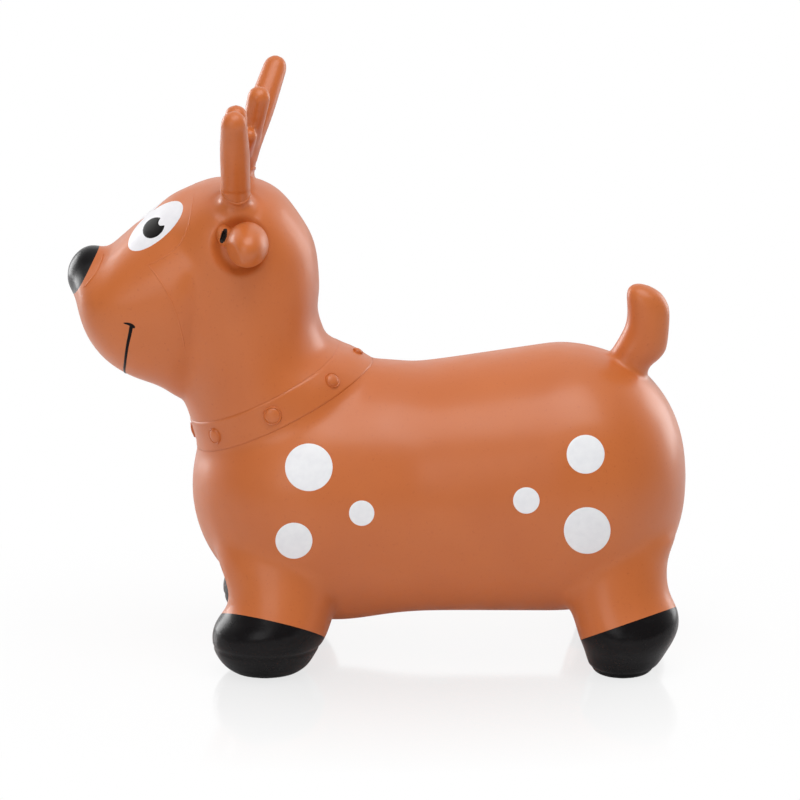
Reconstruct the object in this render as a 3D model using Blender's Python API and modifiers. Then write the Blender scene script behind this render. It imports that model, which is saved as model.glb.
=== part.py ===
"""A bouncy ride-on deer: one hollow inflated skin, divided at its mould and paint lines.

Metres, +Z up. The animal looks along -X, its left side is at -Y, and its soles stand on Z = 0.
The origin is under the middle of the object's box.
"""

import math

import bmesh
import bpy
import numpy as np
from mathutils import Matrix, Vector
from mathutils.bvhtree import BVHTree

# Skin and fits
WALL = 0.0024
GAP = 0.0003
PRINT_THICKNESS = 0.0005
FAR = 1.0
MERGE = 0.00001
BODY_VOXEL = 0.0055
SMALL_VOXEL = 0.0028
SHORTEST_EDGE = 0.0035

# Torso
TORSO_LENGTH = 0.4400
CHEST_X = -0.1647
CHEST_RADIUS = 0.1130
WAIST_RADIUS = 0.1107
HIP_RADIUS = 0.1202
BELLY_HEIGHT = 0.0362
CHEST_POWER_SHARE = 2.02
RUMP_POWER_SHARE = 2.25

# Collar band, a tilted ring round the foot of the neck
COLLAR_X = -0.0907
COLLAR_Z = 0.2345
COLLAR_RADIUS = 0.0830
COLLAR_HALF_BREADTH = 0.0850
COLLAR_TILT_DEG = 26.2
COLLAR_WIDTH = 0.0274
COLLAR_RELIEF = 0.0012
STUD_COUNT = 8
STUD_RADIUS = 0.0074
STUD_HEIGHT = 0.0030

# Head, in a box that runs from the nose to the nape and from the collar to the crown
NAPE_SETBACK = 0.0375
HEAD_LENGTH = 0.2160
HEAD_HEIGHT = 0.1920
HEAD_BREADTH = 0.1560

# Nose
NOSE_ACROSS = 0.0500
NOSE_ALONG = 0.0520
NOSE_DEPTH = 0.0360
NOSE_TILT_DEG = 30.5
NOSE_LINE_SHIFT = -0.0006

# Legs and hooves
LEG_SPACING = 0.1560
# The right legs stand this much nearer the middle than the left ones
RIGHT_LEG_INSET = 0.0050
FRONT_HOOF_LENGTH = 0.0970
REAR_HOOF_LENGTH = 0.0890
HOOF_BREADTH = 0.0920
HOOF_HEIGHT = 0.0445
FRONT_HOOF_LINE_OUTWARD_DEG = 22.5
FRONT_HOOF_LINE_FORE_AFT_DEG = 14.5
REAR_HOOF_LINE_OUTWARD_DEG = 18.0
REAR_HOOF_LINE_FORE_AFT_DEG = 20.0
LEG_LINE_OUTWARD_DEG = 29.0
LEG_LINE_RISE = 0.0200

# Webs, where the front legs run out along the belly
WEB_LENGTH = 0.1100
WEB_BREADTH = 0.0520
WEB_HEIGHT = 0.0360
WEB_SPACING = 0.1080
WEB_LIFT = 0.0263

# Ears, round lobes with a cupped front
EAR_STAND_OUT = 0.0340
EAR_LENGTH = 0.0640
EAR_HEIGHT = 0.0400
EAR_THICKNESS = 0.0370
EAR_WALL = 0.0020
EAR_CUP_DEPTH = 0.0090
EAR_CUP_LENGTH = 0.0300
EAR_CUP_HEIGHT = 0.0260

# Antlers, each a beam that spreads outward with a middle and a low inner tine
LEFT_ANTLER_RISE = 0.0892
RIGHT_ANTLER_RISE = 0.0944
ANTLER_SPREAD = 0.0570
ANTLER_RADIUS = 0.0122
TINE_RADIUS = 0.0094
LOW_TINE_RADIUS = 0.0074
LEFT_ANTLER_LEAN = 0.0005
RIGHT_ANTLER_LEAN = 0.0340
ANTLER_PIVOT_RISE = 0.0220
ANTLER_PIVOT_RADIUS = 0.0156

# Tail, a thumb that leans forward
TAIL_HEIGHT = 0.0985
TAIL_LENGTH = 0.0390
TAIL_BREADTH = 0.0370
TAIL_PIVOT_BACK = 0.0127
TAIL_PIVOT_RISE = 0.0430
TAIL_PIVOT_RADIUS = 0.0262

# Printed marks
SPOT_PRINT_TILT_DEG = 15.0
EYE_LENGTH = 0.0630
EYE_BREADTH = 0.0400
EYE_TURN_DEG = 27.0
EYE_SLOPE_DEG = 41.5
PUPIL_RADIUS = 0.0122
PUPIL_DROP = 0.0045
GLINT_RADIUS = 0.0036
GLINT_FORWARD = 0.0090
GLINT_LIFT = 0.0060
MOUTH_LINE = 0.0032
MOUTH_SLANT_DEG = 8.5
MOUTH_HOOK = 0.0100
MOUTH_HOOK_DEG = 25.0

# Air valve in the belly
VALVE_BORE_RADIUS = 0.0048
VALVE_SEAT_RADIUS = 0.0090
VALVE_SEAT_HEIGHT = 0.0150
VALVE_FLANGE_RADIUS = 0.0140
VALVE_FLANGE_THICKNESS = 0.0016
VALVE_FLANGE_LIFT = 0.0016
PLUG_HEAD_RADIUS = 0.0084
PLUG_HEAD_THICKNESS = 0.0020
PLUG_STEM_LENGTH = 0.0125
PLUG_TIP_RADIUS = 0.0034

# Places on the head box, forward from the nape and up from the collar
NOSE_SHARE = (0.9330, 0.5755)
EYE_AXIS_SHARE = (0.4535, 0.5755)
MOUTH_TOP_SHARE = (0.7705, 0.3725)
EAR_SHARE = (0.2685, 0.8075)
ANTLER_SHARE = (0.3195, 0.9245)
ANTLER_ACROSS_SHARE = 0.3080
ANTLER_PIVOT_LEAN_SHARE = 0.1500
# How high each middle tine reaches, against its beam
LEFT_TINE_SHARE = 1.00
RIGHT_TINE_SHARE = 0.95
# Places along the torso from the chest, and the tail's foot up from the hip's axis
FRONT_LEG_SHARE = 0.1602
REAR_LEG_SHARE = 0.8716
WEB_SHARE = 0.3107
VALVE_SHARE = 0.5010
TAIL_SHARE = 0.8784
TAIL_FOOT_SHARE = 0.6470

# Outlines, as shares of the sizes above
# Torso: how far along it the chest, waist and hip are measured
TORSO_STATION_SHARES = (0.25, 0.45, 0.74)
# Cranium and neck: the front and the back point of each level, then its half breadth
CRANIUM_SHARES = (
    (0.535, 0.020, -0.038, 0.254, 0.522),
    (0.555, 0.190, -0.003, 0.370, 0.508),
    (0.615, 0.440, -0.014, 0.500, 0.500),
    (0.655, 0.690, 0.004, 0.698, 0.497),
    (0.635, 0.820, 0.070, 0.836, 0.475),
    (0.570, 0.915, 0.140, 0.934, 0.405),
    (0.480, 0.972, 0.216, 0.984, 0.270),
)
CRANIUM_TOP_SHARE = (0.345, 1.005)
# Muzzle: the top and the bottom point of each ring from the nose back, then its half breadth
MUZZLE_TIP_SHARE = (0.998, 0.545)
MUZZLE_SHARES = (
    (0.972, 0.635, 0.985, 0.455, 0.190),
    (0.925, 0.642, 0.962, 0.345, 0.310),
    (0.862, 0.668, 0.925, 0.250, 0.385),
    (0.780, 0.758, 0.858, 0.155, 0.430),
    (0.685, 0.840, 0.755, 0.080, 0.460),
    (0.580, 0.930, 0.640, 0.035, 0.475),
    (0.475, 0.974, 0.550, -0.020, 0.480),
)
MUZZLE_END_SHARE = (0.350, 0.500)
# Leg: height in hoof heights, then in hoof lengths and breadths from the foot's centre the edge
# away from the belly, the edge towards it, the shift outwards and the half breadth
FRONT_LEG_SHARES = (
    (-0.09, 0.247, 0.165, 0.00, 0.22),
    (0.07, 0.400, 0.320, 0.00, 0.35),
    (0.20, 0.455, 0.370, 0.00, 0.40),
    (0.42, 0.520, 0.415, 0.00, 0.45),
    (0.73, 0.540, 0.490, 0.01, 0.50),
    (1.00, 0.500, 0.520, -0.01, 0.51),
    (1.22, 0.425, 0.545, -0.05, 0.49),
    (1.44, 0.370, 0.575, -0.09, 0.48),
    (1.78, 0.370, 0.650, -0.16, 0.49),
    (2.22, 0.430, 0.740, -0.25, 0.51),
    (2.67, 0.500, 0.800, -0.34, 0.51),
)
REAR_LEG_SHARES = (
    (-0.09, 0.215, 0.240, 0.00, 0.24),
    (0.07, 0.305, 0.345, 0.00, 0.35),
    (0.20, 0.345, 0.375, 0.00, 0.39),
    (0.42, 0.405, 0.395, 0.00, 0.43),
    (0.73, 0.515, 0.460, 0.01, 0.50),
    (1.00, 0.560, 0.495, -0.01, 0.51),
    (1.22, 0.545, 0.530, -0.05, 0.49),
    (1.44, 0.475, 0.565, -0.09, 0.48),
    (1.78, 0.430, 0.620, -0.16, 0.49),
    (2.22, 0.450, 0.680, -0.25, 0.51),
    (2.67, 0.550, 0.700, -0.34, 0.51),
)
# Antler: share of the rise, of the spread, of the lean and of the radius, along each of its arms
BEAM_SHARES = (
    (-0.22, -0.02, 0.00, 1.16),
    (0.06, 0.02, 0.02, 1.04),
    (0.34, 0.22, 0.21, 1.02),
    (0.66, 0.58, 0.56, 0.98),
    (1.00, 1.00, 0.90, 0.93),
)
TINE_SHARES = (
    (0.30, 0.16, 0.17, 0.70),
    (0.46, 0.05, 0.29, 0.92),
    (0.68, -0.10, 0.42, 0.98),
    (0.90, -0.19, 0.54, 1.04),
)
LOW_TINE_SHARES = (
    (0.20, 0.08, 0.08, 0.80),
    (0.35, -0.14, 0.18, 0.95),
    (0.51, -0.36, 0.30, 1.00),
)
# Tail: the front and the rear point of each ring from its foot up, then its half breadth
TAIL_SHARES = (
    (-0.518, 0.274, 0.310, -0.005, 0.46),
    (-0.385, 0.366, 0.444, 0.107, 0.50),
    (-0.238, 0.460, 0.518, 0.227, 0.50),
    (-0.126, 0.543, 0.744, 0.307, 0.50),
    (-0.038, 0.627, 0.895, 0.395, 0.50),
    (-0.003, 0.729, 0.944, 0.534, 0.49),
    (-0.018, 0.830, 0.969, 0.720, 0.47),
    (-0.028, 0.914, 0.921, 0.817, 0.44),
    (0.028, 0.972, 0.769, 0.910, 0.34),
    (0.167, 1.000, 0.531, 0.972, 0.18),
)
TAIL_TOP_SHARE = (0.350, 0.996)
# Spots: along the torso from the chest, then height over its axis and radius in its radii
SPOT_SHARES = {
    "shoulder_upper": (0.241, 0.3890, 0.1915),
    "shoulder_lower": (0.210, -0.1965, 0.1489),
    "shoulder_small": (0.345, 0.0378, 0.1020),
    "rump_upper": (0.791, 0.3982, 0.1450),
    "rump_small": (0.672, 0.0785, 0.1019),
    "rump_lower": (0.794, -0.1718, 0.1770),
}
BODY_FACET_SHARE = 0.036
ANTLER_FACET_SHARE = 0.045
EAR_FACET_SHARE = 0.060

# Colours as the photograph shows them, sRGB
BROWN = (0.79, 0.46, 0.29)
BLACK = (0.11, 0.105, 0.11)
WHITE = (0.90, 0.90, 0.92)
STOPPER = (0.80, 0.79, 0.76)

parts = None
guides = None


def clear_scene():
    for obj in list(bpy.data.objects):
        bpy.data.objects.remove(obj, do_unlink=True)
    for collection in list(bpy.data.collections):
        bpy.data.collections.remove(collection)


def new_collection(name):
    collection = bpy.data.collections.new(name)
    bpy.context.scene.collection.children.link(collection)
    return collection


def linear(colour):
    return tuple(((c + 0.055) / 1.055) ** 2.4 for c in colour) + (1.0,)


def material(name, colour, roughness):
    made = bpy.data.materials.new(name)
    made.use_nodes = True
    shader = made.node_tree.nodes["Principled BSDF"]
    shader.inputs["Base Color"].default_value = linear(colour)
    shader.inputs["Roughness"].default_value = roughness
    shader.inputs["Metallic"].default_value = 0.0
    made.diffuse_color = linear(colour)
    return made


def add_object(name, mesh, collection):
    obj = bpy.data.objects.new(name, mesh)
    collection.objects.link(obj)
    if collection == guides:
        obj.hide_render = True
        obj.display_type = "WIRE"
    return obj


def finish_part(obj, colour, roughness):
    obj.data.materials.clear()
    obj.data.materials.append(material(obj.name + "_finish", colour, roughness))
    obj.data.shade_smooth()
    obj.data.set_sharp_from_angle(angle=math.radians(40))
    return obj


def bake(obj):
    """Replaces the object's mesh by what its modifiers make of it."""
    graph = bpy.context.evaluated_depsgraph_get()
    graph.update()
    mesh = bpy.data.meshes.new_from_object(obj.evaluated_get(graph))
    obj.modifiers.clear()
    obj.data = mesh
    return obj


def cut(obj, cutter, operation="DIFFERENCE"):
    step = obj.modifiers.new(operation.title(), "BOOLEAN")
    step.operation = operation
    step.object = cutter
    step.solver = "EXACT"
    return bake(obj)


def keep(obj, cutter):
    """Keeps only what lies inside the cutter."""
    return cut(obj, cutter, "INTERSECT")


def copy_of(obj, name, collection):
    return add_object(name, obj.data.copy(), collection)


def set_origin(obj, point):
    """Puts the object's origin on a point, such as its joint's axis."""
    obj.data.transform(Matrix.Translation(-Vector(point)))
    obj.location = point
    return obj


# Lofts


def smooth_rows(rows, steps):
    """More rows on a smooth curve through the given ones."""
    rows = np.array(rows, float)
    padded = np.vstack([2 * rows[0] - rows[1], rows, 2 * rows[-1] - rows[-2]])
    found = []
    for i in range(len(rows) - 1):
        a, b, c, d = padded[i : i + 4]
        for t in np.arange(steps) / steps:
            found.append(
                0.5
                * (
                    2 * b
                    + (c - a) * t
                    + (2 * a - 5 * b + 4 * c - d) * t**2
                    + (3 * b - a - 3 * c + d) * t**3
                )
            )
    found.append(rows[-1])
    return np.array(found)


def oval(first, second, half_breadth, y=0.0, sides=40):
    """A ring whose one way runs between two points of the side view, and the other along Y."""
    first, second = np.array(first), np.array(second)
    middle, half = (first + second) / 2, (first - second) / 2
    points = []
    for angle in np.arange(sides) * (2 * math.pi / sides):
        x, z = middle + half * math.cos(angle)
        points.append((x, y + half_breadth * math.sin(angle), z))
    return points


def mesh_object(name, mesh, collection, place=None):
    """Turns a bmesh into an object, moved into place."""
    if place is not None:
        bmesh.ops.transform(mesh, matrix=place, verts=mesh.verts)
    made = bpy.data.meshes.new(name)
    mesh.to_mesh(made)
    mesh.free()
    return add_object(name, made, collection)


def loft(name, rings, start, end, collection):
    """A closed body through rings of equally many points, with a point at each end."""
    mesh = bmesh.new()
    loops = [[mesh.verts.new(p) for p in ring] for ring in rings]
    sides = len(rings[0])
    for low, high in zip(loops, loops[1:]):
        for i in range(sides):
            j = (i + 1) % sides
            mesh.faces.new((low[i], low[j], high[j], high[i]))
    for loop, point, flip in ((loops[0], start, False), (loops[-1], end, True)):
        tip = mesh.verts.new(point)
        for i in range(sides):
            j = (i + 1) % sides
            corners = (loop[j], loop[i], tip)
            mesh.faces.new(corners[::-1] if flip else corners)
    bmesh.ops.recalc_face_normals(mesh, faces=mesh.faces)
    return mesh_object(name, mesh, collection)


def limb(name, points, radii, collection, sides=20, steps=5):
    """A round limb along a smooth path, with a domed end."""
    table = smooth_rows([(*p, r) for p, r in zip(points, radii)], steps).tolist()
    centres = [Vector(row[:3]) for row in table]
    rings = []
    for i, (centre, row) in enumerate(zip(centres, table)):
        tangent = (centres[min(i + 1, len(table) - 1)] - centres[max(i - 1, 0)]).normalized()
        rings.append(circle(centre, tangent, row[3], sides))
    radius = table[-1][3]
    dome = [math.pi / 2 * k / 4 for k in range(1, 4)]
    for angle in dome:
        centre = centres[-1] + tangent * radius * math.sin(angle)
        rings.append(circle(centre, tangent, radius * math.cos(angle), sides))
    return loft(name, rings, centres[0], centres[-1] + tangent * radius, collection)


def circle(centre, axis, radius, sides):
    across = (Vector((1, 0, 0)) - axis * axis.x).normalized()
    other = axis.cross(across)
    turns = [2 * math.pi * i / sides for i in range(sides)]
    return [centre + radius * (across * math.cos(t) + other * math.sin(t)) for t in turns]


def ellipsoid(name, centre, radii, turn, collection, sides=24):
    mesh = bmesh.new()
    bmesh.ops.create_uvsphere(mesh, u_segments=sides, v_segments=sides // 2, radius=1.0)
    place = Matrix.Translation(centre) @ turn.to_4x4() @ Matrix.Diagonal((*radii, 1.0))
    return mesh_object(name, mesh, collection, place)


def block(name, centre, size, turn=None):
    """A box cutter, centred on a point."""
    mesh = bmesh.new()
    bmesh.ops.create_cube(mesh, size=1.0)
    rotation = (turn or Matrix.Identity(3)).to_4x4()
    place = Matrix.Translation(centre) @ rotation @ Matrix.Diagonal((*size, 1.0))
    return mesh_object(name, mesh, guides, place)


def beyond(name, point, turn):
    """A cutter of everything beyond the plane through a point, on the side of the turn's Z."""
    centre = Vector(point) + turn @ Vector((0, 0, FAR / 2))
    return block(name, centre, (FAR, FAR, FAR), turn)


def rod(name, centre, axis, radius, length, sides, stretch=1.0, along=(1, 0, 0)):
    """A cylinder cutter centred on a point, stretched along one way across it."""
    axis = Vector(axis).normalized()
    side = Vector(along)
    side = (side - axis * side.dot(axis)).normalized()
    turn = Matrix((side, axis.cross(side), axis)).transposed().to_4x4()
    mesh = bmesh.new()
    bmesh.ops.create_cone(
        mesh, cap_ends=True, segments=sides, radius1=radius, radius2=radius, depth=length
    )
    place = Matrix.Translation(centre) @ turn @ Matrix.Diagonal((stretch, 1.0, 1.0, 1.0))
    return mesh_object(name, mesh, guides, place)


def turned(name, profile, closed, centre):
    """A turned piece about the vertical through a point: the profile runs down its outer side."""
    mesh = bpy.data.meshes.new(name)
    edges = [(i, i + 1) for i in range(len(profile) - 1)]
    if closed:
        edges.append((len(profile) - 1, 0))
    mesh.from_pydata([(x, 0.0, z) for x, z in profile], edges, [])
    obj = add_object(name, mesh, parts)
    screw = obj.modifiers.new("Turn", "SCREW")
    screw.steps = 24
    screw.render_steps = 24
    screw.use_merge_vertices = True
    screw.merge_threshold = MERGE
    bake(obj)
    obj.location = centre
    return obj


# The skin's main masses


def torso_radius(share):
    return np.interp(share, TORSO_STATION_SHARES, (CHEST_RADIUS, WAIST_RADIUS, HIP_RADIUS))


def torso():
    """A capsule-like barrel with full round ends, slimmer at the waist."""
    front_x, rear_x = CHEST_X, CHEST_X + TORSO_LENGTH
    rows = []
    count = 44
    for i in range(1, count):
        way = (1 - math.cos(math.pi * i / count)) / 2
        x = front_x + TORSO_LENGTH * way
        radius = torso_radius(way)
        level = BELLY_HEIGHT + radius
        depth = min(x - front_x, rear_x - x)
        inset = max(0.0, 1 - depth / radius)
        power = CHEST_POWER_SHARE if way < 0.5 else RUMP_POWER_SHARE
        half = radius * (1 - inset**power) ** (1 / power)
        rows.append(oval((x, level + half), (x, level - half), half))
    start = (front_x, 0.0, BELLY_HEIGHT + CHEST_RADIUS)
    end = (rear_x, 0.0, BELLY_HEIGHT + HIP_RADIUS)
    return loft("torso_form", rows, start, end, guides)


def collar_turn():
    """Turns Z to the collar's axis, up the neck."""
    return Matrix.Rotation(math.radians(-COLLAR_TILT_DEG), 3, "Y")


def collar_point(share, lift=0.0):
    """A side-view point on the collar's plane, share 1 at its front and -1 at its back."""
    tilt = math.radians(COLLAR_TILT_DEG)
    x = COLLAR_X - share * COLLAR_RADIUS * math.cos(tilt) - lift * math.sin(tilt)
    z = COLLAR_Z - share * COLLAR_RADIUS * math.sin(tilt) + lift * math.cos(tilt)
    return x, z


def head_point(forward_share, up_share):
    x = COLLAR_X + NAPE_SETBACK - HEAD_LENGTH * forward_share
    return x, COLLAR_Z + HEAD_HEIGHT * up_share


def head_place(share, y=0.0):
    x, z = head_point(*share)
    return Vector((x, y, z))


def torso_x(share):
    return CHEST_X + TORSO_LENGTH * share


def cranium():
    """The neck and the egg of the head, from inside the torso up to the crown."""
    rows = [
        (*collar_point(0.75, -1.93 * COLLAR_WIDTH), *collar_point(-1.10, -1.93 * COLLAR_WIDTH)),
        (*collar_point(0.95, -0.88 * COLLAR_WIDTH), *collar_point(-1.05, -0.88 * COLLAR_WIDTH)),
        (*collar_point(0.97), *collar_point(-1.00)),
    ]
    breadths = [0.92 * COLLAR_HALF_BREADTH, 0.98 * COLLAR_HALF_BREADTH, COLLAR_HALF_BREADTH]
    for front_x, front_z, back_x, back_z, breadth in CRANIUM_SHARES:
        rows.append((*head_point(front_x, front_z), *head_point(back_x, back_z)))
        breadths.append(breadth * HEAD_BREADTH)
    table = smooth_rows([(*row, b) for row, b in zip(rows, breadths)], 4)
    rings = [oval(row[0:2], row[2:4], row[4]) for row in table]
    foot = collar_point(-0.2, -2.09 * COLLAR_WIDTH)
    top = head_point(*CRANIUM_TOP_SHARE)
    return loft("cranium_form", rings, (foot[0], 0.0, foot[1]), (top[0], 0.0, top[1]), guides)


def muzzle():
    table = smooth_rows(
        [
            (*head_point(row[0], row[1]), *head_point(row[2], row[3]), row[4] * HEAD_BREADTH)
            for row in MUZZLE_SHARES
        ],
        4,
    )
    rings = [oval(row[0:2], row[2:4], row[4]) for row in table]
    tip = head_point(*MUZZLE_TIP_SHARE)
    end = head_point(*MUZZLE_END_SHARE)
    return loft("muzzle_form", rings, (tip[0], 0.0, tip[1]), (end[0], 0.0, end[1]), guides)


def nose_turn():
    return Matrix.Rotation(math.radians(NOSE_TILT_DEG), 3, "Y")


def nose():
    radii = (NOSE_DEPTH / 2, NOSE_ACROSS / 2, NOSE_ALONG / 2)
    return ellipsoid("nose_form", head_place(NOSE_SHARE), radii, nose_turn(), guides)


def leg_ends():
    """What the two front legs share, and the two rear ones: name, foot place, sense and shape."""
    return (
        ("front", torso_x(FRONT_LEG_SHARE), -1, FRONT_HOOF_LENGTH, FRONT_LEG_SHARES),
        ("rear", torso_x(REAR_LEG_SHARE), 1, REAR_HOOF_LENGTH, REAR_LEG_SHARES),
    )


def leg_x(x, sense, side):
    """Where a leg's foot stands, given its pair's place."""
    return x - sense * RIGHT_LEG_INSET if side > 0 else x


def leg(name, x, sense, length, shares, side):
    """A short splayed leg with a swollen hoof, from under its sole up into the torso."""
    rings = []
    for up, outer, inner, outward, half_breadth in smooth_rows(shares, 4):
        first = (leg_x(x, sense, side) + sense * outer * length, up * HOOF_HEIGHT)
        second = (leg_x(x, sense, side) - sense * inner * length, up * HOOF_HEIGHT)
        y = side * (LEG_SPACING / 2 + outward * HOOF_BREADTH)
        rings.append(oval(first, second, half_breadth * HOOF_BREADTH, y, 32))
    low, high = np.mean(rings[0], axis=0), np.mean(rings[-1], axis=0)
    return loft(name + "_leg_form", rings, low, high, guides)


def web(side):
    """A shallow swelling behind a front leg, under the flank."""
    centre = Vector((torso_x(WEB_SHARE), side * WEB_SPACING / 2, BELLY_HEIGHT + WEB_LIFT))
    radii = (WEB_LENGTH / 2, WEB_BREADTH / 2, WEB_HEIGHT / 2)
    return ellipsoid("web_form", centre, radii, Matrix.Identity(3), guides)


def joined_form(name, forms, voxel, rounds, facet_share):
    """One closed mesh round all the forms, filleted where they meet and thinned out."""
    mesh = bmesh.new()
    for form in forms:
        mesh.from_mesh(form.data)
    obj = mesh_object(name, mesh, guides)
    union = obj.modifiers.new("Union", "REMESH")
    union.mode = "VOXEL"
    union.voxel_size = voxel
    smooth = obj.modifiers.new("Fillets", "SMOOTH")
    smooth.factor = 0.5
    smooth.iterations = rounds
    fewer = obj.modifiers.new("Facets", "DECIMATE")
    fewer.ratio = facet_share
    return bake(obj)


def body_surface():
    """The whole outer surface, one closed mesh, flat at the soles."""
    forms = [torso(), cranium(), muzzle(), nose()]
    for side in (-1, 1):
        forms += [leg(*end, side) for end in leg_ends()]
        forms.append(web(side))
    body = joined_form("body_surface", forms, BODY_VOXEL, 8, BODY_FACET_SHARE)
    mesh = bmesh.new()
    mesh.from_mesh(body.data)
    bmesh.ops.remove_doubles(mesh, verts=mesh.verts, dist=SHORTEST_EDGE)
    bmesh.ops.bisect_plane(
        mesh,
        geom=list(mesh.verts) + list(mesh.edges) + list(mesh.faces),
        dist=MERGE,
        plane_co=(0, 0, 0),
        plane_no=(0, 0, -1),
        clear_outer=True,
    )
    bmesh.ops.holes_fill(mesh, edges=[e for e in mesh.edges if e.is_boundary], sides=0)
    bmesh.ops.triangulate(mesh, faces=mesh.faces)
    mesh.to_mesh(body.data)
    mesh.free()
    return body


def stand_off(obj, distance):
    """Pushes a surface outwards, along its normals."""
    push = obj.modifiers.new("Stand off", "DISPLACE")
    push.strength = distance
    push.mid_level = 0.0
    return obj


def shell(name, surface, thickness, outward, collection):
    """A closed double skin, whose outer face stands off the surface by outward."""
    obj = copy_of(surface, name, collection)
    stand_off(obj, outward)
    solid = obj.modifiers.new("Wall", "SOLIDIFY")
    solid.thickness = thickness
    solid.offset = -1.0
    return bake(obj)


def clearance(name, surface, outward):
    """The surface pushed out, to cut what sits on it."""
    return bake(stand_off(copy_of(surface, name, guides), outward))


# The skin, section by section


def head_and_collar(body, skin):
    lift = (COLLAR_WIDTH + GAP) / 2
    turn = collar_turn()
    up = turn @ Vector((0, 0, 1))
    middle = Vector((COLLAR_X, 0.0, COLLAR_Z))
    above = beyond("above_collar", middle + up * lift, turn)
    head = keep(copy_of(skin, "head_skin", parts), above)
    nose_axis = nose_turn() @ Matrix.Rotation(math.radians(-90), 3, "Y")
    forward = nose_axis @ Vector((0, 0, 1))
    nose_middle = head_place(NOSE_SHARE) + forward * NOSE_LINE_SHIFT
    behind_line = beyond("nose_cut", nose_middle - forward * GAP / 2, nose_axis)
    tip_side = beyond("nose_keep", nose_middle + forward * GAP / 2, nose_axis)
    tip = keep(copy_of(skin, "nose_tip", parts), tip_side)
    cut(head, behind_line)
    band = shell("collar_band", body, WALL + COLLAR_RELIEF, COLLAR_RELIEF, parts)
    keep(band, block("collar_slab", middle, (FAR, FAR, COLLAR_WIDTH - GAP), turn))
    finish_part(head, BROWN, 0.45)
    finish_part(tip, BLACK, 0.35)
    finish_part(band, BROWN, 0.45)


def collar_studs(body, tree):
    """Domes at equal turns round the collar, each seated on the band."""
    seat = clearance("stud_seat", body, COLLAR_RELIEF + GAP)
    turn = collar_turn()
    middle = Vector((COLLAR_X, 0.0, COLLAR_Z))
    for i in range(STUD_COUNT):
        angle = 2 * math.pi * i / STUD_COUNT
        way = Vector((-COLLAR_RADIUS * math.cos(angle), -COLLAR_HALF_BREADTH * math.sin(angle), 0))
        way = (turn @ way).normalized()
        point = tree.ray_cast(middle, way)[0] + way * COLLAR_RELIEF
        tilt = way.to_track_quat("Z", "Y").to_matrix()
        radii = (STUD_RADIUS, STUD_RADIUS, STUD_HEIGHT)
        stud = ellipsoid(f"collar_stud_{i + 1}", point, radii, tilt, parts, 12)
        finish_part(cut(stud, seat), BROWN, 0.45)


def line_top(x, y, sense, side, fore_aft, outward):
    """The height of a leg's dividing plane over its middle, as a function of place."""
    along, across = sense * math.tan(fore_aft), side * math.tan(outward)
    lean = math.sqrt(1 + along**2 + across**2)
    return lambda px, py: along * (px - x) + across * (py - y), lean


def slanted_block(name, x, y, height, top):
    """An upright box cutter round a leg, whose top follows a sloping plane."""
    mesh = bmesh.new()
    bmesh.ops.create_cube(mesh, size=1.0)
    for vert in mesh.verts:
        px = x + vert.co.x * 1.7 * FRONT_HOOF_LENGTH
        py = y + vert.co.y * 0.8 * LEG_SPACING
        vert.co = (px, py, height + top(px, py) if vert.co.z > 0 else -HOOF_HEIGHT)
    return mesh_object(name, mesh, guides)


def legs_and_torso(skin, tree):
    torso_skin = cut(copy_of(skin, "torso_skin", parts), below_collar_cut())
    for end, pair_x, sense, length, shares in leg_ends():
        outward = FRONT_HOOF_LINE_OUTWARD_DEG if end == "front" else REAR_HOOF_LINE_OUTWARD_DEG
        fore_aft = FRONT_HOOF_LINE_FORE_AFT_DEG if end == "front" else REAR_HOOF_LINE_FORE_AFT_DEG
        for name, side in (("left", -1), ("right", 1)):
            x, y = leg_x(pair_x, sense, side), side * LEG_SPACING / 2
            turn = math.radians(fore_aft)
            paint, lean = line_top(x, y, sense, side, turn, math.radians(outward))
            crease, crease_lean = line_top(x, y, sense, side, turn, math.radians(LEG_LINE_OUTWARD_DEG))
            low, high = HOOF_HEIGHT, HOOF_HEIGHT + LEG_LINE_RISE
            half, crease_half = GAP / 2 * lean, GAP / 2 * crease_lean
            piece = f"{end}_{name}"
            hoof = copy_of(skin, piece + "_hoof", parts)
            keep(hoof, slanted_block(piece + "_hoof_keep", x, y, low - half, paint))
            ring = copy_of(skin, piece + "_leg", parts)
            keep(ring, slanted_block(piece + "_leg_keep", x, y, high - crease_half, crease))
            cut(ring, slanted_block(piece + "_leg_cut", x, y, low + half, paint))
            cut(torso_skin, slanted_block(piece + "_torso_cut", x, y, high + crease_half, crease))
            set_origin(hoof, (x, y, HOOF_HEIGHT))
            finish_part(hoof, BLACK, 0.35)
            finish_part(ring, BROWN, 0.45)
    valve(torso_skin, tree)
    finish_part(torso_skin, BROWN, 0.45)


def below_collar_cut():
    turn = collar_turn()
    drop = turn @ Vector((0, 0, -(COLLAR_WIDTH + GAP) / 2))
    return beyond("below_collar", Vector((COLLAR_X, 0.0, COLLAR_Z)) + drop, turn)


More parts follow.
